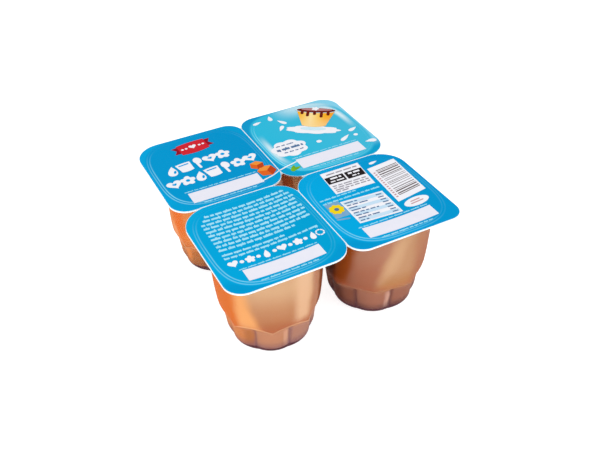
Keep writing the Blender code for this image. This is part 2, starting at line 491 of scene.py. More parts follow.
def placed_ring(name, ring, inset=0.0):
    """A ring's points at their place in the pack, moved inwards by inset.

    A taper draws in the upper wall on its -X side, and leaves its +X side where it is.
    """
    place = PLACES[name]
    middle_x, middle_y = cup_centre(name)
    turn = radians(place["turn"])
    points = []
    for angle, (radius, z) in zip(CUP_ANGLES, ring):
        taper = place["taper"] * max(0.0, z - RIDGE[0])
        reach = place["width"] * radius - inset - taper
        x = middle_x + taper + reach * cos(angle + turn)
        points.append((x, middle_y + reach * sin(angle + turn), z))
    return points


print("the filling reaches", FILL_INSET, "mm into a wall of", WALL, "mm")

# %% [markdown]
# Clear plastic could be real glass with refraction, but lamps don't reach through Blender's glass
# without noise. A thin sheet hardly bends light, so it is a see-through shader with a mirror-like
# gloss laid over it. Fresnel sets how much gloss shows: little face on, more at a glancing angle.
# Faint bumps stand for the waviness that thermoforming leaves, so reflections aren't perfect.

# %% Clear plastic and its cut edge
CLEAR_TINT = colour("FEFEFE")
CUT_EDGE = colour("F6F9FC")
CUT_EDGE_SHADE = colour("DCEEF6")
GLOSS_SHARE = 0.1


def clear_plastic():
    """Thin clear sheet."""
    material, start = new_finish("clear_plastic")
    point, _ = place_in_mm(start)
    waves = {"Strength": 0.25, "Distance": 0.5 * MM, "Height": noise(start, point, 7.0)}
    wavy = start.node("Bump", None, waves)
    fresnel = start.node("Fresnel", None, {"IOR": 1.5, "Normal": wavy})
    see_through = start.node("BsdfTransparent", None, {"Color": CLEAR_TINT})
    gloss = start.node("BsdfGlossy", None, {"Roughness": 0.12, "Normal": wavy})
    show(start, start.node("MixShader", None, {0: fresnel * GLOSS_SHARE, 1: see_through, 2: gloss}))
    return material


def cut_edge():
    """The milky white that a clear sheet shows where it is cut or scored, a little uneven."""
    material, start = new_finish("cut_edge")
    point, _ = place_in_mm(start)
    tone = blend(noise(start, point, 5.0), CUT_EDGE, CUT_EDGE_SHADE)
    sockets = {"Base Color": tone, "Roughness": 0.3 + 0.2 * noise(start, point, 2.0), "IOR": 1.5}
    show(start, start.node("BsdfPrincipled", None, sockets))
    return material


CLEAR = clear_plastic()
EDGE = cut_edge()
print("made", CLEAR.name, "and", EDGE.name)

# %% [markdown]
# Each cup's wall is its outside surface, given its thickness by a Solidify modifier, which keeps
# the wall even. Drawing the inside by hand would only repeat the rings. Edges that meet at more
# than a slight angle are shaded sharp, which leaves a crisp line in every valley.

# %% Cup walls
CRISP_ANGLE = 24.0


def make_cup(name):
    """One cup's clear wall."""
    bm = bmesh.new()
    loops = [add_loop(bm, placed_ring(name, ring)) for ring in WALL_RINGS[name]]
    skin(bm, loops, closed_end=True)
    bmesh.ops.recalc_face_normals(bm, faces=bm.faces)
    piece = to_object(bm, f"cup_{name}", [CLEAR], CRISP_ANGLE)
    thickness = piece.modifiers.new("wall", "SOLIDIFY")
    thickness.thickness = WALL * MM
    thickness.offset = -1.0
    return keep(piece, "clear_plastic", "cup_tray")


cups = [make_cup(name) for name in PLACES]
print("cup walls:", [(cup.name, len(cup.data.polygons)) for cup in cups])

# %% [markdown]
# The flange is the flat part of the same sheet. Its outline is built from straight runs and round
# corners, with a notch at each end of the scored lines and a star-shaped hole in the middle. It
# could be drawn by hand, but worked out from the table of places it always fits the lids.

# %% The flange's outlines
NOTCH_HALF_WIDTH = 0.4
CORNER_STEPS = 10
CORNERS = ((-1, -1), (1, -1), (1, 1), (-1, 1))


def notch_turn(radius):
    """How much of a corner's turn lies closer to a scored line than a notch's end."""
    return acos(1 - NOTCH_HALF_WIDTH / radius)


def corner_arc(name, corner, seam_before=False, seam_after=False, inset=0.0):
    """One rounded corner of a lid or flange, stopped short where it meets a scored line."""
    side_x, side_y = SIDES_OF[name]
    radius = PLACES[name]["corners"][corner]
    start = notch_turn(radius) if seam_before else 0.0
    end = pi / 2 - notch_turn(radius) if seam_after else pi / 2
    middle_x = side_x * LID_X / 2 + CORNERS[corner][0] * (LID_X / 2 - radius)
    middle_y = side_y * LID_Y / 2 + CORNERS[corner][1] * (LID_Y / 2 - radius)
    points = []
    for step in range(CORNER_STEPS + 1):
        turn = pi + pi / 2 * corner + start + (end - start) * step / CORNER_STEPS
        points.append((middle_x + (radius - inset) * cos(turn), middle_y + (radius - inset) * sin(turn)))
    return points


def pack_outline():
    """The flange's outside, anticlockwise."""
    route = [
        ("front", 0, False, False), ("front", 1, False, True),
        ("right", 0, True, False), ("right", 1, False, False), ("right", 2, False, True),
        ("back", 1, True, False), ("back", 2, False, False), ("back", 3, False, True),
        ("left", 2, True, False), ("left", 3, False, False), ("left", 0, False, True),
        ("front", 3, True, False),
    ]
    return [point for stop in route for point in corner_arc(*stop)]


def star_outline():
    """The star-shaped hole where the four inner corners meet."""
    stops = (("front", 2), ("left", 1), ("back", 0), ("right", 3))
    return [point for name, corner in stops for point in corner_arc(name, corner, True, True)]


print("the pack's outline has", len(pack_outline()), "points, and the star's", len(star_outline()))

# %% [markdown]
# The flat sheet has five holes: the star, and a mouth for each cup. A boolean modifier could cut
# them, but flat triangles between the closed outlines keep every point of those outlines. The top
# and the cut sides are milky. The underside stays clear, and so does the star's side by the back
# lid.

# %% Flange
FLANGE_THICKNESS = 0.9
CLEAR_REACH = 12.0


def mouth_outline(name):
    """The round hole under a lid."""
    return [(x, y) for x, y, _ in placed_ring(name, WALL_RINGS[name][0], WALL)]


def fill_between(bm, loops):
    """Fill the flat area between an outline and the holes in it."""
    edges = []
    for loop in loops:
        for first, second in zip(loop, loop[1:] + loop[:1]):
            edges.append(bm.edges.get((first, second)) or bm.edges.new((first, second)))
    bmesh.ops.triangle_fill(bm, edges=edges, use_beauty=True, normal=(0, 0, 1))


def make_flange():
    """The flat sheet that joins the cups."""
    bm = bmesh.new()
    outlines = [pack_outline(), star_outline()] + [mouth_outline(name) for name in PLACES]
    levels = (FLANGE_TOP, FLANGE_TOP - FLANGE_THICKNESS)
    stacks = [[add_loop(bm, [(x, y, z) for x, y in outline]) for z in levels] for outline in outlines]
    sides = [face for stack in stacks for face in skin(bm, stack)]
    fill_between(bm, [stack[0] for stack in stacks])
    milky = bm.faces[:]
    fill_between(bm, [stack[1] for stack in stacks])
    for face in milky:
        middle = face.calc_center_median()
        by_back_lid = face in sides and 0 < middle.x < CLEAR_REACH and 0 < middle.y < CLEAR_REACH
        face.material_index = 0 if by_back_lid else 1
    bmesh.ops.recalc_face_normals(bm, faces=bm.faces)
    return keep(to_object(bm, "flange", [CLEAR, EDGE]), "clear_plastic", "cup_tray")


flange = make_flange()
print("flange has", len(flange.data.polygons), "faces")

# %% [markdown]
# Where the lids part, the sheet is scored so that the cups can be snapped off. The bent plastic
# turns white along the score, and stands up in a low bead between the foils. Each bead is a
# short profile drawn along the straight run between two corners.

# %% Scored lines
# how far to the side and up each point of a bead's profile lies
BEAD_PROFILE = ((-0.32, 0.05), (-0.2, 0.2), (0.0, 0.26), (0.2, 0.2), (0.32, 0.05))
SCORES = {
    "score_near": (1, -1, ("front", 1), ("right", 0), ("front", 2), ("right", 3)),
    "score_far": (1, 1, ("left", 2), ("back", 3), ("left", 1), ("back", 0)),
    "score_left": (0, -1, ("front", 3), ("left", 0), ("front", 2), ("left", 1)),
    "score_right": (0, 1, ("right", 2), ("back", 1), ("right", 3), ("back", 0)),
}


def corner_run(name, corner):
    """How far along a score a rounded corner keeps the sheet from being full."""
    radius = PLACES[name]["corners"][corner]
    return radius * (1 - sin(notch_turn(radius)))


def make_score(slot_name, axis, side, *corners):
    """The white bead along one score."""
    outer, inner = (max(corner_run(*spot) for spot in pair) for pair in (corners[:2], corners[2:]))
    reach = LID_Y if axis == 1 else LID_X
    ends = (side * inner, side * (reach - outer))
    bm = bmesh.new()
    rows = []
    for along in ends:
        spots = [(off, along) if axis == 1 else (along, off) for off, _ in BEAD_PROFILE]
        rows.append([bm.verts.new((*spot, FLANGE_TOP + up)) for spot, (_, up) in zip(spots, BEAD_PROFILE)])
    for index in range(len(BEAD_PROFILE) - 1):
        bm.faces.new((rows[0][index], rows[0][index + 1], rows[1][index + 1], rows[1][index]))
    for row in rows:
        bm.faces.new(row)
    bm.faces.new((rows[0][0], rows[0][-1], rows[1][-1], rows[1][0]))
    bmesh.ops.recalc_face_normals(bm, faces=bm.faces)
    return keep(to_object(bm, slot_name, [EDGE], 60.0), "clear_plastic", "cup_tray")


scores = [make_score(slot_name, *where) for slot_name, where in SCORES.items()]
print("scored lines:", [score.name for score in scores])

# %% [markdown]
# Seen through the wall, set custard is a warm tan that shows orange where a thin film of caramel has run up
# between it and the plastic. The orange patches paint both that caramel and the glow of light shining through
# the custard. The same patches also paint the light on the clear, faceted wall: narrow pale bands are painted
# highlights and painted reflections, and the dark patches beside the valleys are painted shade. Painting an
# image would be one way. Here the finish is worked out from the angle round each cup and the height: every
# streak is a soft-edged patch between two angles and two heights, and noise makes its edges wander.

# %% Streaks of caramel, painted highlights and painted shade
# each: from and to angle, softness, from and to height, softness, lean, colour and strength
# from 274 to 294 degrees a painted reflection, from 262 to 268 a painted highlight on a flute's edge, from
# 211 to 224 painted shade beside a valley
FRONT_STREAKS_AND_PAINTED_LIGHT = (
    (130, 226, 7, 22.5, 70, 1, -0.45, "E4A064", 1.0),
    (146, 209, 8, 20, 70, 4, 0.0, "CE6220", 0.88),
    (130, 162, 4, 20, 70, 3, 0.0, "A85C34", 0.55),
    (274, 294, 7, 25, 70, 5, 0.0, "E0B590", 0.8),
    (297, 360, 5, 20, 70, 3, 0.0, "B27A5E", 0.9),
    (309, 360, 3, 20, 70, 3, 0.0, "7C4228", 0.95),
    (150, 224, 3, 0, 21, 2, 0.0, "C87C48", 0.9),
    (211, 224, 5, 0, 21, 2, 0.0, "A2643E", 0.7),
    (262, 268, 2, 4, 20, 3, 0.0, "E0B094", 0.4),
    (269, 360, 2, 0, 21, 2, 0.0, "A67868", 0.8),
)
# the two leaning patches from 256 degrees up high are a painted highlight, and the band from 261 to 268 a
# painted highlight on a flute's edge
RIGHT_STREAKS_AND_PAINTED_LIGHT = (
    (120, 206, 6, 20, 70, 3, 0.0, "55281E", 0.9),
    (206, 222, 6, 23, 70, 3, 0.5, "9A4A1C", 1.0),
    (256, 300, 6, 27, 66, 6, 0.6, "B88A66", 1.0),
    (256, 269, 8, 33, 60, 8, 0.6, "CEA680", 0.6),
    (260, 300, 9, 22, 33, 5, 0.4, "B07A4E", 0.9),
    (290, 360, 8, 22, 70, 4, 0.0, "A86C50", 0.7),
    (120, 226, 2, 0, 21, 2, 0.0, "7C4836", 0.8),
    (120, 206, 6, 0, 21, 2, 0.0, "5C2C20", 0.7),
    (261, 268, 3, 4, 20, 3, 0.0, "D8AC9A", 0.55),
    (270, 360, 2, 0, 21, 2, 0.0, "94604E", 0.8),
)
# the patch from 168 to 181 degrees and the leaning band from 176 to 184 are painted highlights
LEFT_STREAKS_AND_PAINTED_LIGHT = (
    (120, 360, 3, 22, 70, 3, 0.0, "DA8246", 0.9),
    (186, 208, 7, 28, 56, 8, 0.0, "DE6420", 0.65),
    (120, 172, 4, 20, 70, 3, 0.0, "C47E58", 0.8),
    (168, 181, 5, 44, 62, 6, 0.0, "D8A48A", 0.6),
    (120, 360, 3, 12, 21, 3, 0.0, "D88246", 0.9),
    (176, 184, 4, 23, 36, 4, -0.8, "F0B488", 0.45),
    (206, 300, 4, 0, 20, 3, 0.0, "A86A40", 0.8),
    (186, 197, 3, 3, 17, 3, 0.0, "B4704C", 0.7),
)
BACK_STREAKS_AND_PAINTED_LIGHT = (
    (180, 250, 6, 22, 70, 4, 0.0, "A8502A", 0.9),
    (180, 203, 3, 22, 70, 4, 0.0, "F0D0B0", 0.9),
    (213, 217, 2, 22, 70, 4, 0.0, "C4703C", 0.7),
    (219, 240, 3, 22, 70, 4, 0.0, "E0A878", 0.8),
    (250, 300, 4, 22, 70, 4, 0.0, "C88A5C", 0.8),
)
STREAKS_AND_PAINTED_LIGHT = {"front": FRONT_STREAKS_AND_PAINTED_LIGHT, "right": RIGHT_STREAKS_AND_PAINTED_LIGHT, "left": LEFT_STREAKS_AND_PAINTED_LIGHT, "back": BACK_STREAKS_AND_PAINTED_LIGHT}
print("streaks:", {name: len(streaks) for name, streaks in STREAKS_AND_PAINTED_LIGHT.items()})

# %% [markdown]
# A streak's mask is 1 inside it and falls to 0 at its soft edges. Some streaks lean: their angles shift with
# the height, which lets them follow the slant of the painted highlights on the faceted wall. A painted
# texture would need an unwrapped mesh for each cup, but an angle and a height can be worked out at any shaded
# point.

# %% Where a streak shows
LEAN_HEIGHT = 40.0


def cup_angle(start, name, x, y):
    """The angle round a cup's axis in degrees, as its mould is turned."""
    middle_x, middle_y = cup_centre(name)
    turn = start.math("ARCTAN2", y - middle_y, x - middle_x) / (2 * pi) - PLACES[name]["turn"] / 360
    return 360 * start.math("FRACT", turn + 1.0)


def streak_and_light_mask(angle, z, streak_or_light):
    """1 inside a streak of caramel or a patch of painted light, with soft edges."""
    first, last, soft, low, high, fade, lean = streak_or_light[:7]
    turned_angle = angle - lean * (z - LEAN_HEIGHT)
    across = turned_angle.step(first - soft, first + soft) * (1 - turned_angle.step(last - soft, last + soft))
    return across * z.step(low - fade, low + fade) * (1 - z.step(high - fade, high + fade))


print("the moulds are turned by", [place["turn"] for place in PLACES.values()], "degrees")

# %% [markdown]
# The rest of the custard's colour follows the cup's form: paler towards the mouth, a painted terracotta shade
# in the tucked-in zone over the ledge, a painted highlight along the ledge, pinkish in the flutes with
# painted shade in their valleys, and dark at the foot, where the caramel shows. One set of tones would do for
# all four, but no two fillings look quite alike.

# %% The custard's tones
BODY_TONES = {
    # over the ledge, in the middle, and towards the mouth
    "front": ("AA6846", "B67D58", "CCA27C"),
    "right": ("9A6048", "A2664E", "AC7860"),
    "left": ("BC7648", "D88A50", "DC9860"),
    "back": ("A4624A", "C08A66", "D0A078"),
}
FLUTE_TONES = {"front": "B87F60", "right": "9C6652", "left": "C47A48", "back": "A8705A"}
FOOT_TONES = {"front": "72505C", "right": "4A3038", "left": "8C5840", "back": "5A3430"}
# painted shade for the tucked-in zone over the ledge, and the painted highlight along the ledge with its
# strength for each cup
TUCKED_SHADE = colour("B05A3A")
LEDGE_HIGHLIGHT = colour("F2C8A0")
LEDGE_HIGHLIGHT_SHARE = {"front": 0.4, "right": 0.15, "left": 0.3, "back": 0.2}
# heights between which a tone gives way to the next
LOW_TO_MIDDLE = (24.0, 36.0)
MIDDLE_TO_HIGH = (33.0, 54.0)
FOOT_TO_FLUTES = (5.0, 13.0)
# the same, but measured from the ledge
FLUTES_TO_LEDGE = (-1.6, -0.6)
# where the painted shade over the ledge starts and ends
TUCK_STARTS = (-0.3, 0.6)
TUCK_ENDS = (1.0, 7.0)
# half the height of the painted highlight along the ledge, and a valley's share of half a flute, where
# painted shade lies
LEDGE_BAND = 0.8
VALLEY_SHARE = 0.2
print("body tones:", BODY_TONES)

# %% [markdown]
# The finish lays these tones over each other, the broad ones first. Custard touches the plastic,
# so it has no gloss of its own, and a little subsurface scattering lets light sink in, as it does
# in the real thing. A flat colour would look like paint.


# %% Custard finish
def custard_finish(name):
    """Set custard behind clear plastic, with streaks of caramel and painted highlights, reflections and shade
    on its skin.
    """
    material, start = new_finish(f"custard_{name}")
    point, (x, y, height) = place_in_mm(start)
    cloud = noise(start, point, 9.0)
    angle = cup_angle(start, name, x, y) + 7 * (cloud - 0.5)
    z = height + 3 * (noise(start, point, 14.0) - 0.5)
    share = start.math("FRACT", angle / SIDE_DEGREES)
    tip = 1 - start.math("ABSOLUTE", 2 * share - 1)
    over_ledge = height - (LEDGE_Z - PLACES[name]["dip"] * tip * tip)

    low, middle, high = (colour(code) for code in BODY_TONES[name])
    tone = blend(z.step(*MIDDLE_TO_HIGH), blend(z.step(*LOW_TO_MIDDLE), low, middle), high)
    in_flutes = 1 - over_ledge.step(*FLUTES_TO_LEDGE)
    tone = blend(in_flutes, tone, colour(FLUTE_TONES[name]))
    # the streaks lay caramel, painted highlights, painted reflections and painted shade over the tones
    for streak_or_light in STREAKS_AND_PAINTED_LIGHT[name]:
        tone = blend(streak_and_light_mask(angle, z, streak_or_light) * streak_or_light[8], tone, colour(streak_or_light[7]))
    # painted shade in the tucked-in zone over the ledge, then a painted highlight along the ledge
    tucked_shade = over_ledge.step(*TUCK_STARTS) * (1 - over_ledge.step(*TUCK_ENDS))
    tone = blend(tucked_shade * 0.25, tone, TUCKED_SHADE)
    tone = blend(over_ledge.near(0.0, LEDGE_BAND) * LEDGE_HIGHLIGHT_SHARE[name], tone, LEDGE_HIGHLIGHT)
    foot_tone = colour(FOOT_TONES[name])
    # painted shade in the valleys between the flutes, in the foot's dark tone
    valley_shade = (1 - tip.step(0.0, VALLEY_SHARE)) * in_flutes
    tone = blend(valley_shade * 0.5, tone, foot_tone)
    foot = 1 - height.step(FOOT_TO_FLUTES[0], FOOT_TO_FLUTES[1] + 3 * cloud)
    tone = blend(foot * 0.85, tone, foot_tone)

    sockets = {
        "Base Color": tone,
        "Roughness": 0.5,
        "Specular IOR Level": 0.0,
        "Subsurface Weight": 0.08,
        "Subsurface Radius": (1.0, 0.45, 0.2),
        "Subsurface Scale": MM,
    }
    show(start, start.node("BsdfPrincipled", None, sockets))
    return material


CUSTARD = {name: custard_finish(name) for name in PLACES}
print("custard finishes:", [material.name for material in CUSTARD.values()])

# %% [markdown]
# The caramel is so dark that a few millimetres of it hide what is behind. A volume shader would
# be truer, but it is slow and noisy, so the syrup is a dark surface that noise shifts a little.

# %% Caramel finish
CARAMEL_DARK = colour("3E2228")
CARAMEL_PALE = colour("6A4044")


def caramel_finish():
    """Dark caramel syrup."""
    material, start = new_finish("caramel")
    point, _ = place_in_mm(start)
    tone = blend(noise(start, point, 6.0), CARAMEL_DARK, CARAMEL_PALE)
    sockets = {"Base Color": tone, "Roughness": 0.4, "Specular IOR Level": 0.0}
    show(start, start.node("BsdfPrincipled", None, sockets))
    return material


CARAMEL = caramel_finish()
print("made", CARAMEL.name)

# %% [markdown]
# The filling is two solids, custard over caramel. Each follows the wall's rings between two
# levels, so a change to the cup changes them too. Above the custard's level a thin film of it
# clings to the wall, from when the cup was filled and moved. The film could be a piece of its
# own, but as part of the custard it shows no seam. The two solids overlap by a hair where they
# meet.

# %% Custard and caramel
OVERLAP = 0.1
FILM_DROP = 0.2
FILM_TOP = FLANGE_TOP - FLANGE_THICKNESS - FILM_DROP
# how far in from the film's outer side each ring of its inner side lies, and at which height
FILM = ((3.0, FILL_TOP - 0.5), (0.9, FILL_TOP - 0.1), (0.45, FILL_TOP + 1.0), (0.25, FILM_TOP))


def make_custard(name):
    """The custard in one cup."""
    rings = rings_between(WALL_RINGS[name], FILM_TOP, CARAMEL_TOP)
    inner = [[(radius - reach, z) for radius, _ in rings[0]] for reach, z in FILM]
    bm = bmesh.new()
    loops = [add_loop(bm, placed_ring(name, ring, FILL_INSET)) for ring in [*inner, *rings]]
    skin(bm, loops, closed_end=True)
    fan(bm, loops[0])
    bmesh.ops.recalc_face_normals(bm, faces=bm.faces)
    piece = to_object(bm, f"custard_fill_{name}", [CUSTARD[name]], CRISP_ANGLE)
    return keep(piece, "custard", f"custard_{name}")


def make_caramel(name):
    """The caramel under one cup's custard, down to the foot."""
    top = CARAMEL_TOP + OVERLAP
    lower = [ring for ring in WALL_RINGS[name] if all(z < CARAMEL_TOP - FILL_INSET for _, z in ring)]
    lifted = [[(radius, z + FILL_INSET) for radius, z in ring] for ring in lower]
    rings = [cut_ring(WALL_RINGS[name], top), *lifted]
    bm = bmesh.new()
    loops = [add_loop(bm, placed_ring(name, ring, FILL_INSET)) for ring in rings]
    skin(bm, loops, closed_end=True)
    fan(bm, loops[0])
    bmesh.ops.recalc_face_normals(bm, faces=bm.faces)
    piece = to_object(bm, f"caramel_fill_{name}", [CARAMEL], CRISP_ANGLE)
    return keep(piece, "caramel", f"caramel_{name}")


fillings = [make(name) for name in PLACES for make in (make_custard, make_caramel)]
print("fillings:", [filling.name for filling in fillings])

# %% [markdown]
# A foil lid is flat to the eye, but light finds its relief: the heat-seal leaves two fine beads
# in a rounded square, the foil sinks a little inside them and is pressed down outside. One
# function gives the foil's height at any point. The foil's mesh uses it, and so does the print,
# which therefore lies on the foil everywhere.

# %% The foil's relief
FOIL_REST = FLANGE_TOP + 0.3
# the seal line is a rounded square: its half sizes, and the power that sets how square it is
SEAL_HALF_X = 29.4
SEAL_HALF_Y = 32.6
SEAL_POWER = 3.4
BEAD_OFF = 0.7
BEAD_WIDTH = 0.36
BEAD_HEIGHT = 0.1
DISH_DEPTH = 0.12
PRESS_DEPTH = 0.08
PRESS_START = 0.8
PRESS_END = 2.5


def seal_radius(angle):
    """How far the seal line lies from the lid's centre in one direction."""
    reach_x = abs(cos(angle)) / SEAL_HALF_X
    reach_y = abs(sin(angle)) / SEAL_HALF_Y
    return (reach_x ** SEAL_POWER + reach_y ** SEAL_POWER) ** (-1 / SEAL_POWER)


def ease(low, high, value):
    """0 below low, 1 above high and smooth between them."""
    share = min(max((value - low) / (high - low), 0.0), 1.0)
    return share * share * (3 - 2 * share)


def foil_height(x, y):
    """The foil's height at a point of a lid, measured from the lid's -X -Y corner."""
    off_x, off_y = x - LID_X / 2, y - LID_Y / 2
    reach = hypot(off_x, off_y)
    limit = seal_radius(atan2(off_y, off_x))
    beyond = reach - limit
    inside = max(1 - (reach / limit) ** 2, 0.0)
    beads = sum(exp(-(((beyond - side * BEAD_OFF) / BEAD_WIDTH) ** 2)) for side in (-1, 1))
    press = ease(PRESS_START, PRESS_END, beyond)
    return FOIL_REST + BEAD_HEIGHT * beads - DISH_DEPTH * inside - PRESS_DEPTH * press


print(f"foil at its middle {foil_height(LID_X / 2, LID_Y / 2):.2f} mm, lid box top {LID_TOP:.2f} mm")

# %% [markdown]
# Foil and inks share one surface, a lacquer with the faint waviness that is called orange peel.
# Its gloss is kept very low, so that the soft light doesn't wash out the colours. Only the colour
# differs from piece to piece, so one function makes them all. The foil's underside is bare
# aluminium, which a metallic surface with uneven roughness shows best.

# %% Lacquer and bare foil
INK_SPECULAR = 0.01


def lacquer(start, base, point):
    """A printed surface, with the faint orange peel of lacquered foil."""
    grain = noise(start, point, 1.8)
    peel = start.node("Bump", None, {"Strength": 0.15, "Distance": 0.4 * MM, "Height": grain})
    sockets = {
        "Base Color": base,
        "Roughness": 0.35 + 0.1 * noise(start, point, 5.0),
        "Specular IOR Level": INK_SPECULAR,
        "Normal": peel,
    }
    show(start, start.node("BsdfPrincipled", None, sockets))


def bare_foil():
    """The unprinted aluminium of a lid's underside."""
    material, start = new_finish("bare_foil")
    point, _ = place_in_mm(start)
    roughness = 0.3 + 0.2 * noise(start, point, 3.0)
    sockets = {"Base Color": colour("D9DBDD"), "Metallic": 1.0, "Roughness": roughness}
    show(start, start.node("BsdfPrincipled", None, sockets))
    return material


BARE = bare_foil()
print("made", BARE.name)

# %% [markdown]
# The lids' blue shifts softly across each lid, inside the seal and outside it, with painted shade along the
# near edge. The two beads carry a painted highlight, strongest at the near left corner and at the sides,
# where the stretched foil catches the light. The back lid is printed in a paler blue, and a painted white
# sheen lies along its far edge and at both sides of its seal. One image per lid would do, but a few masks are
# easier to retouch.

# %% Printed foil
FOIL_TONES = {
    # inside the seal from left to right, outside it from left to right, and the painted shade along the near
    # edge
    "front": ("00A4DA", "009FD2", "04A8DC", "04A6DA", "0098D0"),
    "right": ("00A7E0", "0095CE", "02A6DE", "0095D0", "0095CE"),
    "left": ("0097D0", "0093CC", "02A4DC", "009CD2", "029ED4"),
    "back": ("2EBADC", "40BADA", "1098CC", "86D2EC", "089FCC"),
}
# how strongly the beads' painted highlight shows at each lid's left side
BEAD_SIDE_HIGHLIGHT = {"front": 0.15, "right": 0.2, "left": 0.4, "back": 0.9}
# colour of the painted white sheen on the back lid
FOIL_SHEEN = colour("DDF1F7")
# colour of the painted highlight on the seal's beads
BEAD_HIGHLIGHT = colour("8CDCF6")
BEAD_REACH = 0.55


def beyond_seal(start, name, x, y):
    """About how many mm a point lies outside the seal line."""
    left, low = lid_origin(name)
    share_x = start.math("ABSOLUTE", (x - left - LID_X / 2) / SEAL_HALF_X)
    share_y = start.math("ABSOLUTE", (y - low - LID_Y / 2) / SEAL_HALF_Y)
    total = start.math("POWER", share_x, SEAL_POWER) + start.math("POWER", share_y, SEAL_POWER)
    return (start.math("POWER", total, 1 / SEAL_POWER) - 1) * (SEAL_HALF_X + SEAL_HALF_Y) / 2


def printed_foil(name):
    """One lid's ground, with painted shade along its near edge, a painted highlight on its beads and, on the
    back lid, a painted sheen.
    """
    material, start = new_finish(f"foil_{name}")
    point, (x, y, _) = place_in_mm(start)
    left, low = lid_origin(name)
    across, along = (x - left) / LID_X, (y - low) / LID_Y
    tones = [colour(code) for code in FOIL_TONES[name]]
    inner_left, inner_right, outer_left, outer_right, near_edge_shade = tones
    rightwards = (across + 0.5 * (noise(start, point, 26.0) - 0.5)).step(0.1, 0.9)
    beyond = beyond_seal(start, name, x, y)
    inner = blend(rightwards, inner_left, inner_right)
    # a painted white sheen along the back lid's far edge and beside its seal
    if name == "back":
        top_sheen = 0.7 * across.step(0.3, 0.6) * along.step(0.76, 0.98)
        left_sheen = (1 - across.step(0.1, 0.3)) * along.near(0.42, 0.3)
        right_sheen = across.step(0.7, 0.9) * along.step(0.4, 0.7)
        seal_sheen = 0.95 * beyond.near(-2.6, 3.2) * (left_sheen + right_sheen)
        inner = blend(start.math("MAXIMUM", top_sheen, seal_sheen), inner, FOIL_SHEEN)
    outer = blend(rightwards, outer_left, outer_right)
    # painted shade along the near edge
    outer = blend(along.step(0.08, 0.24), near_edge_shade, outer)
    tone = blend(beyond.step(0.5, 2.5), inner, outer)
    # painted highlight on the beads, strongest at the near left corner and at the sides
    beads = beyond.near(-BEAD_OFF, BEAD_REACH) + 0.7 * beyond.near(BEAD_OFF, BEAD_REACH)
    corner = (1.1 - across - along).step(0.0, 0.8)
    left_side_highlight = (1 - across.step(0.05, 0.3)) * (1 - along.step(0.6, 0.9))
    sides = 0.3 * across.step(0.85, 1.0) + BEAD_SIDE_HIGHLIGHT[name] * left_side_highlight
    bead_highlight = corner * (0.5 + noise(start, point, 14.0)) + sides
    lacquer(start, blend(beads * (0.02 + 0.6 * bead_highlight), tone, BEAD_HIGHLIGHT), point)
    return material


PRINTED = {name: printed_foil(name) for name in PLACES}
print("foil finishes:", [material.name for material in PRINTED.values()])

# %% [markdown]
# Each foil covers its quarter of the flange, but for a narrow rim where the milky sheet shows,
# and it stops short of the scored lines. Its outline could be drawn anew, but the flange's corner
# arcs hold it already. Points along its straight edges keep the foil's faces short.

# %% The foil's outline
FOIL_INSET = 0.2
SCORE_HALF = 0.17
EDGE_STEPS = 6


def foil_outline(name, inset=0.0):
    """A foil's outline in the pack, with points along its straight edges too."""
    side_x, side_y = SIDES_OF[name]
    corners = [corner_arc(name, corner, inset=FOIL_INSET + inset) for corner in range(4)]
    outline = []
    for arc, after in zip(corners, corners[1:] + corners[:1]):
        outline += arc
        for step in range(1, EDGE_STEPS):
            share = step / EDGE_STEPS
            outline.append(tuple(a + share * (b - a) for a, b in zip(arc[-1], after[0])))
    score = SCORE_HALF + inset
    return [(side_x * max(side_x * x, score), side_y * max(side_y * y, score)) for x, y in outline]


print("a foil's outline has", len(foil_outline("front")), "points")

# %% [markdown]
# Each foil is a web of loops that spread from its middle to the seal and on to its outline. Fine
# loops follow the beads, where the relief is, and few lie elsewhere. A flat grid would need many
# more faces for the same beads.

# %% Foil lids
INNER_SHARES = (0.1, 0.25, 0.4, 0.55, 0.7, 0.82, 0.9)
SIDE_OFFSETS = (0.35, 0.55, 0.7, 0.85, 1.05, 1.3, 1.7)
SEAL_OFFSETS = (*(-offset for offset in SIDE_OFFSETS[::-1]), 0.0, *SIDE_OFFSETS)
OUTER_SHARES = (0.35, 0.7)
# how far in from the foil's outline each ring of its rim lies, and how far down
RIM = ((0.5, 0.0), (0.2, 0.05), (0.05, 0.12), (0.0, 0.2))


def make_lid(name):
    """One cup's printed foil."""
    left, low = lid_origin(name)
    middle_x, middle_y = left + LID_X / 2, low + LID_Y / 2
    outline = foil_outline(name)
    directions = [atan2(y - middle_y, x - middle_x) for x, y in outline]

    def on_foil(x, y):
        return (x, y, foil_height(x - left, y - low))

    def ring(reaches):
        spots = zip(reaches, directions)
        return [on_foil(middle_x + r * cos(a), middle_y + r * sin(a)) for r, a in spots]

    seal = [seal_radius(angle) for angle in directions]
    rim_start = foil_outline(name, RIM[0][0])
    reach_out = [hypot(x - middle_x, y - middle_y) for x, y in rim_start]
    loops = [ring([share * reach for reach in seal]) for share in INNER_SHARES]
    loops += [ring([reach + offset for reach in seal]) for offset in SEAL_OFFSETS]
    past_seal = [reach + SEAL_OFFSETS[-1] for reach in seal]
    for share in OUTER_SHARES:
        loops.append(ring([a + share * (b - a) for a, b in zip(past_seal, reach_out)]))
    for inset, drop in RIM:
        edge = [on_foil(x, y) for x, y in foil_outline(name, inset)]
        loops.append([(x, y, z - drop) for x, y, z in edge])
    bm = bmesh.new()
    rings = [add_loop(bm, points) for points in loops]
    skin(bm, rings)
    fan(bm, rings[0])
    under = fan(bm, rings[-1])
    for face in under:
        face.material_index = 1
    bmesh.ops.recalc_face_normals(bm, faces=bm.faces)
    piece = to_object(bm, f"foil_{name}", [PRINTED[name], BARE], 50.0)
    return keep(piece, "printed_foil", f"lid_{name}")


lids = [make_lid(name) for name in PLACES]
print("foils:", {lid.name: len(lid.data.polygons) for lid in lids})

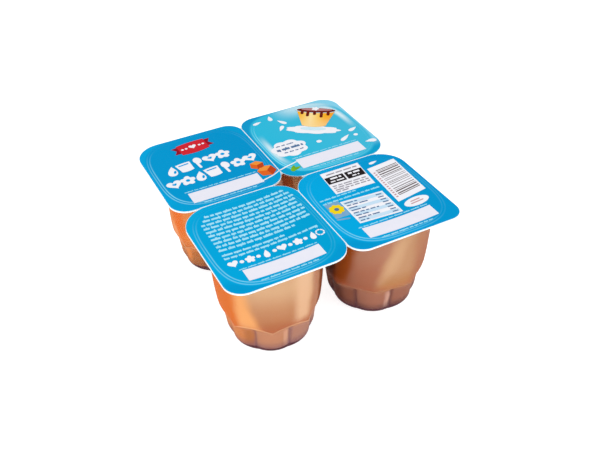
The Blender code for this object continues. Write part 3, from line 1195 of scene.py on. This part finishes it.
# %% [markdown]
# The print is flat ink. An image texture would do it fastest, but a picture can't be edited like
# a shape, so every field and motif is an outline in millimetres from the lid's corner. Small
# functions give the outlines that come again and again, first the bars, ellipses and petals.

# %% Bars, ellipses and petals
ARC_STEPS = 5


def turned(points, x, y, tilt=0.0):
    """Points about the origin, turned by tilt degrees and moved to x, y."""
    c, s = cos(radians(tilt)), sin(radians(tilt))
    return [(x + c * u - s * v, y + s * u + c * v) for u, v in points]


def bar(x, y, length, height, tilt=0.0, radius=None):
    """A bar with round corners about a middle point."""
    radius = min(length, height) / 2 if radius is None else radius
    points = []
    for corner, (side_x, side_y) in enumerate(((1, 1), (-1, 1), (-1, -1), (1, -1))):
        for step in range(ARC_STEPS + 1):
            turn = pi / 2 * (corner + step / ARC_STEPS)
            u = side_x * (length / 2 - radius) + radius * cos(turn)
            v = side_y * (height / 2 - radius) + radius * sin(turn)
            points.append((u, v))
    return turned(points, x, y, tilt)


def ellipse(x, y, reach_x, reach_y, tilt=0.0, steps=32):
    """An ellipse about a middle point."""
    turns = [2 * pi * step / steps for step in range(steps)]
    return turned([(reach_x * cos(turn), reach_y * sin(turn)) for turn in turns], x, y, tilt)


def petals(x, y, reach, count, depth, tilt=0.0, steps=60):
    """A round shape with lobes, such as a blossom or a cloud."""
    turns = [2 * pi * step / steps for step in range(steps)]
    spots = [(reach * (1 - depth + depth * abs(cos(count * turn / 2))), turn) for turn in turns]
    return turned([(r * cos(turn), r * sin(turn)) for r, turn in spots], x, y, tilt)


print("a bar has", len(bar(0, 0, 4, 1)), "points, and an ellipse", len(ellipse(0, 0, 2, 1)))

# %% [markdown]
# The plumper shapes come from formulas: a drop is a circle pinched at one end, and a heart is a
# known curve of sines and cosines. Drawing them with a pen tool would do, but a formula can be
# asked for any size and tilt. A band follows a Bezier curve, as Blender's own curves do.

# %% Drops, hearts, pots and bands
HEART_SPAN = 32
CURVE_STEPS = 16


def drop(x, y, length, width, tilt=0.0, steps=28):
    """A drop with its tip at the far end along tilt."""
    points = []
    for step in range(steps):
        turn = 2 * pi * step / steps
        points.append((-length / 2 * cos(turn), width / 2 * sin(turn) * (sin(turn / 2)) ** 1.3))
    return turned(points, x, y, tilt + 180)


def heart(x, y, size, tilt=0.0, steps=40):
    """A plump heart."""
    unit = size / HEART_SPAN
    points = []
    for step in range(steps):
        turn = 2 * pi * step / steps
        v = 13 * cos(turn) - 5 * cos(2 * turn) - 2 * cos(3 * turn) - cos(4 * turn)
        points.append((unit * 16 * sin(turn) ** 3, unit * (v + 2)))
    return turned(points, x, y, tilt)


def pot(x, y, width, height, tilt=0.0, narrow=0.74, sag=0.08, steps=10):
    """A pot seen from the side: straight slanted sides, and a rounded top and bottom."""
    shares = [step / steps for step in range(steps + 1)]
    low = [(-width / 2 + width * s, -height / 2 - sag * width * sin(pi * s)) for s in shares]
    high = [(narrow * (width / 2 - width * s), height / 2 + 0.5 * sag * width * sin(pi * s)) for s in shares]
    return turned(low + high, x, y, tilt)


def ribbon_line(points, width, taper=0.0):
    """A band along the Bezier curve of a few points, narrower towards its end by the taper."""
    path = [bezier_at(points, step / CURVE_STEPS) for step in range(CURVE_STEPS + 1)]
    left, right = [], []
    for index, (x, y) in enumerate(path):
        before, after = path[max(index - 1, 0)], path[min(index + 1, CURVE_STEPS)]
        along = Vector((after[0] - before[0], after[1] - before[1])).normalized()
        half = width / 2 * (1 - taper * index / CURVE_STEPS)
        left.append((x - half * along.y, y + half * along.x))
        right.append((x + half * along.y, y - half * along.x))
    return left + right[::-1]


def bezier_at(points, share):
    """The point at a share of the way along a Bezier curve."""
    while len(points) > 1:
        points = [
            (a[0] + share * (b[0] - a[0]), a[1] + share * (b[1] - a[1])) for a, b in zip(points, points[1:])
        ]
    return points[0]


print("a heart has", len(heart(0, 0, 5)), "points")

# %% [markdown]
# Small print reads as texture, not as words. Each line is a row of bars of uneven length, with a
# few taller ticks, drawn from a seeded random generator so that it comes out the same each time.
# The foil is stretched when it is sealed, so a line may sag in its middle and rise at its ends.

# %% Rows that stand for small print
dice = random.Random(7)
SAG_MIDDLE = 24.0
SAG_REACH = 36.0


def words(x_start, x_end, y, height=1.3, rise=0.0, word=(2.0, 5.5), gap=0.9):
    """One line of small print as bars. Towards its ends it lies up to about rise higher."""
    shapes = []
    x = x_start
    while x < x_end - 1.0:
        length = min(dice.uniform(*word), x_end - x)
        off = (x + length / 2 - SAG_MIDDLE) / SAG_REACH
        lift = y + rise * off * off
        slope = degrees(atan2(2 * rise * off, SAG_REACH))
        shapes.append(bar(x + length / 2, lift, length, height, slope, 0.3))
        for _ in range(int(length / 2.2)):
            tick = x + dice.uniform(0.1, 0.9) * length
            side = dice.choice((-0.4, 0.4, 0.4))
            shapes.append(bar(tick, lift + side * height, 0.6, height, slope, 0.2))
        x += length + gap
    return shapes


print("a line of small print has", len(words(8, 60, 0)), "shapes")

# %% [markdown]
# A flat shape would cut through the foil's beads, so the print is cut into faces that can bend
# with them: coarse ones all over the lid, and fine ones where an edge crosses the seal. Fine
# faces everywhere would be simpler, but far too many.

# %% Cutting the print's mesh
CUT_SIZE = 8.0
SEAL_CUT_SIZE = 0.6
SEAL_BAND = 1.8
MOST_CUTS = 4


def crosses_seal(edge):
    """True where an edge touches the band about the seal line."""
    for share in (0.0, 0.25, 0.5, 0.75, 1.0):
        spot = edge.verts[0].co.lerp(edge.verts[1].co, share)
        off_x, off_y = spot.x - LID_X / 2, spot.y - LID_Y / 2
        if abs(hypot(off_x, off_y) - seal_radius(atan2(off_y, off_x))) < SEAL_BAND:
            return True
    return False


def split_faces(bm):
    """Cut a flat mesh so that it can follow the foil: coarsely, and finely near the seal."""
    for axis, reach in ((0, LID_X), (1, LID_Y)):
        for cut in range(1, ceil(reach / CUT_SIZE)):
            place = [0, 0, 0]
            normal = [0, 0, 0]
            place[axis] = cut * CUT_SIZE
            normal[axis] = 1
            everything = bm.verts[:] + bm.edges[:] + bm.faces[:]
            bmesh.ops.bisect_plane(bm, geom=everything, plane_co=place, plane_no=normal)
    for _ in range(MOST_CUTS):
        long = [edge for edge in bm.edges if edge.calc_length() > SEAL_CUT_SIZE and crosses_seal(edge)]
        if not long:
            break
        bmesh.ops.subdivide_edges(bm, edges=long, cuts=1)
        bmesh.ops.triangulate(bm, faces=bm.faces)


print("cuts every", CUT_SIZE, "mm, and every", SEAL_CUT_SIZE, "mm or so near the seal")

# %% [markdown]
# Ink is laid on the foil's relief. Each call makes one thin mesh of one ink, and its level says
# how high it lies, in the order in which a press would lay the inks down. Neighbouring shapes of
# one ink differ in height by a few thousandths of a millimetre, because faces in the same place
# render with dark specks.

# %% Laying ink on the foil
INK_LIFT = 0.045
SHAPE_LIFT = 0.003


def lay_ink(name, ink, outlines, level):
    """Print outlines on a lid in one ink, at one level of the stack of inks."""
    left, low = lid_origin(name)
    bm = bmesh.new()
    for index, outline in enumerate(outlines):
        hair = SHAPE_LIFT * (index % 4)
        bm.faces.new([bm.verts.new((x, y, hair)) for x, y in outline])
    bmesh.ops.triangulate(bm, faces=bm.faces)
    split_faces(bm)
    for vertex in bm.verts:
        x, y, hair = vertex.co
        vertex.co = (left + x, low + y, foil_height(x, y) + level * INK_LIFT + hair)
    bm.normal_update()
    bmesh.ops.reverse_faces(bm, faces=[face for face in bm.faces if face.normal.z < 0])
    keep(to_object(bm, f"print_{name}_{ink}_{level}", [INKS[ink]], 60.0), "printed_foil")


print("ink lies", INK_LIFT, "mm higher with each level")

# %% [markdown]
# Every ink is its own finish. Most are one colour that noise shifts a little, as print on foil
# never comes out quite even, so the table holds two codes for each. Plain colours would need one,
# but they look like cut paper.

# %% Ink colours
INK_COLOURS = {
    "white": ("F6F6FA", "ECECF4"),
    "strip": ("EDEBF5", "E4E6F2"),
    "pale": ("A0DEF4", "84D2F0"),
    "print": ("B2E6F8", "8AD6F2"),
    "mist": ("D6EEF8", "C4E6F4"),
    "blue": ("009BDC", "00A4E4"),
    "row": ("CDE4F4", "BFDCF2"),
    "grey": ("A8A4AC", "8F8C98"),
    "slate": ("4A6C96", "5F7EA4"),
    "black": ("2C2426", "1C1618"),
    "bars": ("544A4A", "6E6260"),
    "steel": ("6C9CC4", "86B4D4"),
    "yellow": ("F4DC1C", "ECCC14"),
    "rose": ("D89A9C", "B8A4A8"),
    "red": ("DC2C34", "C41E30"),
    "dark_red": ("A01428", "8C1024"),
    "toffee": ("E66C24", "DC5A1E"),
    "toffee_shade": ("C44A1C", "B83C18"),
    "toffee_light": ("F4A042", "EE8A34"),
    "caramel_print": ("7C1E10", "56140C"),
    "glaze": ("B4787C", "C08C8C"),
    "leaf": ("8CC428", "5C9A24"),
}
print(len(INK_COLOURS), "colours of ink")

# %% [markdown]
# One ink is special. It runs from amber at the bowl's sides to cream in its middle, which makes a
# flat shape look round. Slices of different inks could do that too, but a colour ramp over the
# bowl's width has no steps. The ramp needs the picture's place, so that is set here.

# %% Ink finishes
# the bowl picture's middle on the back lid, and its turn in degrees
PICTURE = (43.5, 51.0, -33.0)
BOWL_TOP = 23.6
BOWL_FOOT = 14.0
BOWL_HEIGHT = 18.0
BOWL_STOPS = ((0.0, "FCE2A0"), (0.35, "FACB60"), (0.7, "F8AE1C"), (1.0, "F6A42C"))
CREAM = colour("FBD79A")
CREAM_OFF = 2.5


def ink_finish(name, first, second):
    """Ink of nearly one colour."""
    material, start = new_finish(f"ink_{name}")
    point, _ = place_in_mm(start)
    lacquer(start, blend(noise(start, point, 4.0), colour(first), colour(second)), point)
    return material


def custard_ink():
    """Amber at the bowl's sides, and cream in its middle and towards its foot."""
    material, start = new_finish("ink_custard")
    point, (x, y, _) = place_in_mm(start)
    left, low = lid_origin("back")
    c, s = cos(radians(PICTURE[2])), sin(radians(PICTURE[2]))
    off_x, off_y = x - left - PICTURE[0], y - low - PICTURE[1]
    across = start.math("ABSOLUTE", (c * off_x + s * off_y + CREAM_OFF) / (BOWL_TOP / 2))
    up = c * off_y - s * off_x
    stops = [(place, colour(code)) for place, code in BOWL_STOPS]
    body = start.node("ValToRGB", {"stops": stops}, {0: across})
    towards_foot = 1 - up.step(-BOWL_HEIGHT / 2, 3.0)
    lacquer(start, blend(towards_foot * 0.6, body, CREAM), point)
    return material


INKS = {name: ink_finish(name, *codes) for name, codes in INK_COLOURS.items()}
INKS["custard"] = custard_ink()
print(len(INKS), "inks")

# %% [markdown]
# Every lid has a pale strip for a date to be stamped on, between two lines of small print. On
# the two near lids the foil was stretched when it was sealed, so their strips sag a little.

# %% Date strips
STRIPS = {
    # the strip's lower and upper edge, and how far it sags
    "front": (6.2, 14.3, 0.9),
    "right": (5.9, 14.3, 0.8),
    "left": (5.0, 14.5, 0.1),
    "back": (6.1, 15.8, 0.0),
}
STRIP_MIDDLE = 32.0
STRIP_REACH = 20.0
STRIP_SPOTS = [12.2 + 4 * step for step in range(11)]


def date_strip(name):
    """The pale strip and the small print above and below it."""
    low, high, sag = STRIPS[name]
    lifts = [(x, sag * ((x - STRIP_MIDDLE) / STRIP_REACH) ** 2) for x in STRIP_SPOTS]
    lower = [(x, low + lift) for x, lift in lifts]
    upper = [(x, high + lift) for x, lift in lifts[::-1]]
    lay_ink(name, "strip", [lower + upper], 1)
    above = words(11, 52, high + 1.6, 0.7, sag, gap=0.5)
    below = words(17, 47, low - 1.6, 0.8, sag, gap=0.5)
    lay_ink(name, "pale", above + below, 1)


for name in PLACES:
    date_strip(name)
print("date strips on", list(STRIPS))

# %% [markdown]
# The front lid carries a block of small print, whose lines all follow the foil's sag. A table
# gives where each line starts and ends, and a loop does the rest.

# %% Small print on the front lid
TEXT_LINES = [(12, 57), (10, 59)] + [(8, 60)] * 7 + [(8, 49)]
TEXT_TOP = 61.0
TEXT_STEP = 3.15
TEXT_RISE = 2.4
small_print = []
for row, (x_start, x_end) in enumerate(TEXT_LINES):
    small_print += words(x_start, x_end, TEXT_TOP - TEXT_STEP * row, 1.45, TEXT_RISE, gap=0.7)
small_print += words(8, 41, 28.6, 1.2, TEXT_RISE, gap=0.6)
small_print += words(8, 59, 25.8, 1.2, TEXT_RISE, gap=0.6)
lay_ink("front", "print", small_print, 1)
print("front lid:", len(small_print), "marks of small print")

# %% [markdown]
# Under it runs one row of bolder motifs: hearts, blossoms and drops with dots between them, and a
# ring of short bars at the end. Each stands on the same sagging line, so its height is worked out
# from its place along the row.

# %% Bold row on the front lid
MARKS = ("heart", "dot", "blossom", "dot", "drop", "dot") * 2
MARK_START = 10.4
MARK_STEP = 4.25
MARK_HEIGHT = 20.8
MARK_RISE = 2.2
RING_R = 2.0


def bold_mark(kind, x, y):
    """One motif of the row."""
    if kind == "heart":
        return heart(x, y, 5.2, 4.0)
    if kind == "blossom":
        return petals(x, y, 2.6, 5, 0.36, 12.0)
    if kind == "drop":
        return drop(x, y, 5.8, 4.2, 80.0)
    return ellipse(x, y, 1.1, 1.1)


def dashed_ring(x, y):
    """A ring of eight short bars."""
    turns = [pi / 4 * step for step in range(8)]
    spots = [(x + RING_R * cos(turn), y + RING_R * sin(turn), turn) for turn in turns]
    return [bar(spot_x, spot_y, 1.5, 0.8, degrees(turn) + 90) for spot_x, spot_y, turn in spots]


mark_xs = [MARK_START + MARK_STEP * index for index in range(len(MARKS))]
mark_ys = [MARK_HEIGHT + MARK_RISE * ((x - SAG_MIDDLE) / SAG_REACH) ** 2 for x in mark_xs]
bold = [bold_mark(*spot) for spot in zip(MARKS[:-1], mark_xs, mark_ys)]
bold += dashed_ring(mark_xs[-1], mark_ys[-1])
lay_ink("front", "white", bold, 1)
print("front lid:", len(bold), "bold shapes")

# %% [markdown]
# The left lid is the pack's cheerful face, with a red ribbon at its top. The ribbon is three inks
# over each other: dark red tails, a red plaque and white marks. It could be modelled as folded
# cloth, but print is flat, and the dark red alone makes the tails look tucked behind.

# %% Ribbon on the left lid
RIBBON = (31.5, 57.0, 4.0)


def ribbon(x, y, tilt):
    """A swallow-tailed ribbon with a plaque."""
    tails = [(-12, -3.0), (-9.8, 0.4), (-12, 3.8), (0, 4.6), (12, 3.8), (9.8, 0.4), (12, -3.0), (0, -3.8)]
    plaque = pot(0, 0, 16.8, 10.0, 0.0, narrow=1.0, sag=0.07)
    lay_ink("left", "dark_red", [turned(tails, x, y, tilt)], 1)
    lay_ink("left", "red", [turned(plaque, x, y, tilt)], 2)
    dots = [ellipse(spot, 0.0, 0.8, 0.8) for spot in (-6.4, -4.1, 4.1, 6.4)]
    marks = [heart(0, 0.1, 4.4), *dots]
    lay_ink("left", "white", [turned(mark, x, y, tilt) for mark in marks], 3)


ribbon(*RIBBON)
print("ribbon at", RIBBON[:2])

# %% [markdown]
# Below it stand two rising rows of plump white motifs. Most have small details in the ground's
# blue on top, which is how one-colour print gets its drawing. Holes in the white would look the
# same, but an outline with a hole needs more work than a second ink.

# %% Rows of motifs on the left lid
MOTIF_STEP = 7.7
MOTIF_SLOPE = 0.1


def motif(kind, x, y):
    """One motif's white outlines and its blue details."""
    if kind == "pot":
        return [pot(x, y, 7.0, 8.2, 6.0, 1.25)], [turned(bar(0, 2.4, 6.2, 1.0), x, y, 6.0)]
    if kind == "blossom":
        return [petals(x, y, 4.4, 5, 0.34, 12.0)], [ellipse(x, y, 1.2, 1.2)]
    if kind == "heart":
        return [heart(x, y, 8.4, 8.0)], [heart(x, y + 0.3, 2.6, 8.0)]
    if kind == "spoon":
        return [ellipse(x + 0.4, y + 2.2, 2.3, 3.2, 6.0), bar(x - 0.3, y - 2.6, 1.5, 6.2, 6.0)], []
    return [drop(x, y, 9.6, 7.4, 80.0)], [ellipse(x + 1.0, y - 1.4, 0.7, 1.5, -20.0)]


def motif_rows():
    """Two rising rows of plump motifs."""
    white, blue = [], []
    first_row = ("drop", "pot", "spoon", "heart", "blossom")
    second_row = ("heart", "blossom", "drop", "pot", "spoon", "blossom", "heart")
    for kinds, x_start, y_start in ((first_row, 12.6, 38.6), (second_row, 9.2, 25.6)):
        for index, kind in enumerate(kinds):
            along = MOTIF_STEP * index
            shapes, details = motif(kind, x_start + along, y_start + MOTIF_SLOPE * along)
            white += shapes
            blue += details
    lay_ink("left", "white", white, 1)
    lay_ink("left", "blue", blue, 2)


motif_rows()
print("motifs every", MOTIF_STEP, "mm")

# %% [markdown]
# A pair of toffee cubes stands in the corner, above a thin white line. A cube that is seen from a
# corner is a hexagon of three diamonds. Shading could round them, but three flat tones of orange
# are enough to make them look solid.


# %% Toffee cubes on the left lid
def toffee_cube(x, y, size, tilt):
    """The three faces of a cube that is seen from a corner."""
    corners = [(size * sin(pi / 3 * step), size * cos(pi / 3 * step)) for step in range(6)]
    faces = {"toffee_light": 0, "toffee_shade": 2, "toffee": 4}
    for ink, first in faces.items():
        spots = [(0, 0), corners[(first + 5) % 6], corners[first], corners[(first + 1) % 6]]
        lay_ink("left", ink, [turned(spots, x, y, tilt)], 1)


toffee_cube(58.0, 14.2, 5.4, 12.0)
toffee_cube(55.4, 21.6, 4.2, -14.0)
lay_ink("left", "white", [ribbon_line([(50.5, 6.2), (58.0, 7.4), (63.6, 10.8)], 0.9, 0.3)], 1)
print("left lid printed")

# %% [markdown]
# The back lid shows a serving suggestion, drawn from flat inks: a saucer, a footed bowl of custard,
# a pool of dark caramel with drips, a paler glaze where the caramel catches the light, and a
# blossom of cream. It is turned on the lid so that it stands upright for a customer at the pack's
# front corner. Drawn upright about the bowl's middle and turned afterwards, it stays simple.


# %% Serving suggestion on the back lid
def in_picture(outline):
    """An outline drawn about the bowl's middle, at its place on the lid."""
    return turned(outline, *PICTURE)


def bowl_picture():
    """A generic footed bowl of custard with caramel."""
    top, low = BOWL_HEIGHT / 2, -BOWL_HEIGHT / 2
    saucer = [(1.5 * x, 0.42 * y) for x, y in petals(0, 0, 11.0, 9, 0.14)]
    lay_ink("back", "white", [in_picture([(x, y + low - 4.6) for x, y in saucer])], 1)
    foot = [ellipse(0, low - 3.4, 7.5, 1.9), bar(0, low - 1.6, 4.4, 3.6)]
    lay_ink("back", "mist", [in_picture(outline) for outline in foot], 2)
    body = pot(0, 0, BOWL_FOOT, BOWL_HEIGHT, 0.0, BOWL_TOP / BOWL_FOOT, 0.12)
    lay_ink("back", "custard", [in_picture(body)], 3)
    lay_ink("back", "mist", [in_picture(ellipse(0, top, BOWL_TOP / 2 + 0.9, 3.4))], 4)
    drips = ((-8.2, 3.2), (-4.7, 5.6), (-0.6, 3.8), (3.6, 6.6), (7.6, 4.0))
    cap = [ellipse(0, top - 0.1, BOWL_TOP / 2, 2.7)]
    cap += [bar(spot, top - 1.0 - length / 2, 1.8, length + 2.0) for spot, length in drips]
    lay_ink("back", "caramel_print", [in_picture(outline) for outline in cap], 5)
    lay_ink("back", "glaze", [in_picture(ellipse(0.4, top + 0.7, 0.4 * BOWL_TOP, 1.5))], 6)
    lay_ink("back", "white", [in_picture(petals(-0.6, top + 1.6, 2.3, 5, 0.36))], 7)


bowl_picture()
print("bowl at", PICTURE[:2], "turned by", PICTURE[2], "degrees")

# %% [markdown]
# Drops of cream fly about the bowl, a white cloud holds a few lines of small print, and a green
# leaf lies in the corner. Scattering the drops at random would be quicker, but a printed picture
# is composed: each drop has a place and a tilt of its own.

# %% Drops, cloud and leaf on the back lid
drops = [
    drop(10.5, 62.0, 6.0, 3.2, 15.0), drop(19.5, 63.6, 5.6, 3.8, 80.0), drop(24.0, 56.6, 7.0, 3.6, 120.0),
    drop(56.6, 28.8, 6.4, 3.8, 20.0), drop(20.6, 50.0, 6.4, 3.4, 230.0), drop(48.0, 22.6, 8.5, 3.6, 30.0),
    drop(59.0, 12.6, 7.0, 4.6, 170.0), ellipse(33.0, 26.5, 1.6, 1.4), ellipse(55.0, 22.6, 1.3, 1.2),
]
lay_ink("back", "white", drops, 1)
cloud = [(1.25 * x + 15.0, y + 28.4) for x, y in petals(0, 0, 8.8, 7, 0.16, 15.0)]
lay_ink("back", "white", [cloud], 1)
cloud_lines = words(8.4, 20, 32.6, 0.8) + words(7.2, 23.5, 28.6, 1.9) + words(10, 22, 24.8, 0.8)
lay_ink("back", "slate", cloud_lines, 2)
lay_ink("back", "leaf", [drop(7.6, 9.0, 6.4, 4.0, 60.0), drop(9.6, 8.2, 5.4, 3.4, 15.0)], 1)
lay_ink("back", "white", [ribbon_line([(0.4, 11.0), (6.0, 12.6), (12.0, 14.0)], 0.9)], 1)
print("back lid printed")

# %% [markdown]
# The right lid is the pack's technical side: a notice and a table with tinted rows, both filled
# with small print, a block of stripes, a yellow blossom on a steel-blue plate and a white oval.
# The panels aren't square to the lid, so what they hold is placed by its shares across and up.


# %% Panels on the right lid
def on_panel(corners, u, v):
    """A point of a panel from its shares across and up."""
    low = [a + u * (b - a) for a, b in zip(corners[0], corners[1])]
    high = [a + u * (b - a) for a, b in zip(corners[3], corners[2])]
    return tuple(a + v * (b - a) for a, b in zip(low, high))


def patch(corners, u_start, u_end, v_start, v_end):
    """A four-sided part of a panel."""
    ends = ((u_start, v_start), (u_end, v_start), (u_end, v_end), (u_start, v_end))
    return [on_panel(corners, u, v) for u, v in ends]


def panel_words(corners, v, u_start, u_end, height):
    """A line of small print across a panel."""
    shapes = []
    u = u_start
    while u < u_end - 0.03:
        length = min(dice.uniform(0.07, 0.22), u_end - u)
        shapes.append(patch(corners, u, u + length, v, v + height))
        u += length + 0.035
    return shapes


NOTICE = ((15.6, 46.2), (38.8, 45.4), (40.4, 66.4), (16.8, 66.2))
STRIPES = ((40.2, 25.0), (58.9, 28.0), (59.8, 60.2), (41.8, 58.4))
TABLE = ((13.8, 19.0), (37.8, 17.2), (38.0, 37.4), (13.8, 39.2))
for corners in (NOTICE, STRIPES, TABLE):
    lay_ink("right", "white", [corners], 1)
print("three panels on the right lid")

# %% [markdown]
# The notice has two dark plates with white marks on them, and grey lines of small print above and
# below. Each mark could be a mesh of its own, but one mesh for each ink keeps the pieces few.

# %% The notice
notice_bars = panel_words(NOTICE, 0.86, 0.12, 0.92, 0.05)
for v in (0.32, 0.23, 0.14, 0.06):
    notice_bars += panel_words(NOTICE, v, 0.06, 0.95 - 0.6 * (v < 0.1), 0.045)
lay_ink("right", "grey", notice_bars, 2)
lay_ink("right", "black", [patch(NOTICE, 0.02, 0.49, 0.46, 0.77), patch(NOTICE, 0.53, 0.98, 0.46, 0.77)], 2)
notice_marks = panel_words(NOTICE, 0.64, 0.14, 0.42, 0.07) + panel_words(NOTICE, 0.64, 0.6, 0.9, 0.07)
notice_marks += panel_words(NOTICE, 0.52, 0.1, 0.44, 0.05) + panel_words(NOTICE, 0.52, 0.66, 0.84, 0.05)
lay_ink("right", "white", notice_marks, 3)
print("notice:", len(notice_bars), "grey bars and", len(notice_marks), "white marks")

# %% [markdown]
# The stripes and the gaps between them have random widths, and rose dots stand beside them. The
# table has tinted rows, and each of its lines is a run of bars with one short bar at the far
# side. Both are loops, because neither has a part that is unlike the rest.

# %% Stripes and table
stripes = []
v = 0.12
while v < 0.9:
    width = dice.choice((0.010, 0.016, 0.026))
    stripes.append(patch(STRIPES, 0.18, 0.95, v, v + width))
    v += width + dice.choice((0.020, 0.032, 0.048))
lay_ink("right", "bars", stripes, 2)
dots = [patch(STRIPES, 0.06, 0.13, 0.1 + 0.06 * step, 0.13 + 0.06 * step) for step in range(13)]
lay_ink("right", "rose", dots, 2)

rows = [patch(TABLE, 0.03, 0.97, 0.05 + 0.26 * step, 0.17 + 0.26 * step) for step in range(4)]
lay_ink("right", "row", rows, 2)
entries = []
for step in range(8):
    v = 0.07 + 0.115 * step
    entries += panel_words(TABLE, v, 0.06, 0.25 + 0.1 * (step * 3 % 5), 0.04)
    entries.append(patch(TABLE, 0.8, 0.93, v, v + 0.04))
lay_ink("right", "slate", entries, 3)
print(len(stripes), "stripes, and a table of", len(entries), "bars")

# %% [markdown]
# The rest stands beside the panels: a yellow blossom with a dark middle on a steel-blue plate, a
# white oval with two rose bars, a white drop, and two lines of small print between the notice and
# the table. Each is there once, so plain calls are enough.

# %% Beside the panels
lay_ink("right", "steel", [bar(9.3, 34.2, 8.2, 13.0, 0.0, 0.4), bar(8.4, 26.0, 7.0, 1.2, -14.0)], 1)
lay_ink("right", "yellow", [petals(9.3, 34.6, 4.1, 8, 0.2)], 2)
lay_ink("right", "slate", [ellipse(9.3, 34.6, 1.3, 1.3)], 3)
lay_ink("right", "white", [ellipse(48.6, 21.2, 7.5, 3.4, 5.0), drop(48.0, 62.4, 5.6, 2.8, 10.0)], 1)
lay_ink("right", "rose", [bar(48.6, 20.6, 8.0, 0.8, 5.0), bar(48.4, 22.3, 6.0, 0.8, 5.0)], 2)
lay_ink("right", "pale", words(5, 27, 44.6, 1.0, -1.0, gap=0.5) + words(5, 40, 41.4, 1.0, -1.0, gap=0.5), 1)
print("right lid printed")

# %% [markdown]
# The pack stands on a light table: a pale floor that glows a little, as product shots on white
# are made, so that only faint shadows stay. A backdrop that bends up behind the pack would hide
# the horizon, but from the photograph's height no horizon shows.

# %% Floor
FLOOR_SIZE = 3000.0
FLOOR_DROP = 0.05
FLOOR_GLOW = 0.86


def make_floor():
    """A wide pale floor, which isn't part of the object."""
    material, start = new_finish("floor")
    point, _ = place_in_mm(start)
    tone = blend(noise(start, point, 400.0), colour("BCBCBC"), colour("C0C0C0"))
    sockets = {
        "Base Color": tone,
        "Roughness": 0.8,
        "Emission Color": (1.0, 1.0, 1.0, 1.0),
        "Emission Strength": FLOOR_GLOW,
    }
    show(start, start.node("BsdfPrincipled", None, sockets))
    half = FLOOR_SIZE / 2
    bm = bmesh.new()
    bm.faces.new(add_loop(bm, [(half * x, half * y, -FLOOR_DROP) for x, y in CORNERS]))
    floor = to_object(bm, "floor", [material])


make_floor()
print("floor of", FLOOR_SIZE, "mm")

# %% [markdown]
# The sky is a soft white dome, brighter overhead than at its edge. Two large lamps, one in front
# and one to the left, light the cups' sides under the lids. Small lamps would be as bright, but
# would draw hard shadows and sharp highlights.

# %% Sky and lamps
LAMPS_AIM = (0, 0, 20)


def add_lamp(name, place, size, power):
    """A large soft lamp that points at the pack."""
    light = bpy.data.lights.new(name, "AREA")
    light.shape = "RECTANGLE"
    light.size, light.size_y = (side * MM for side in size)
    light.energy = power
    lamp = bpy.data.objects.new(name, light)
    lamp.location = Vector(place) * MM
    aim = (Vector(LAMPS_AIM) - Vector(place)).normalized()
    lamp.rotation_euler = aim.to_track_quat("-Z", "Y").to_euler()
    bpy.context.scene.collection.objects.link(lamp)


def add_sky(edge, overhead):
    """Soft white light from all round, from dim at the edge to bright overhead."""
    world = bpy.data.worlds.new("studio")
    world.use_nodes = True
    world.node_tree.nodes.clear()
    start = Value(world.node_tree)
    height = start.node("SeparateXYZ", None, {0: start.node("TexCoord")}, output=2)
    stops = [(0.0, (edge, edge, edge, 1.0)), (0.8, (overhead, overhead, overhead, 1.0))]
    glow = start.node("ValToRGB", {"stops": stops}, {0: height})
    background = start.node("Background", None, {"Color": glow})
    made = world.node_tree.nodes.new("ShaderNodeOutputWorld")
    world.node_tree.links.new(background.socket, made.inputs["Surface"])
    bpy.context.scene.world = world


add_sky(0.38, 1.03)
add_lamp("key", (250, -700, 330), (500, 300), 1.4)
add_lamp("side", (-600, -250, 250), (300, 250), 0.9)
bpy.context.scene.view_settings.view_transform = "Standard"
print("sky and two lamps ready")

# %% [markdown]
# Last, the view layer is updated, so that every piece's place is worked out.

# %% Update the view layer
bpy.context.view_layer.update()
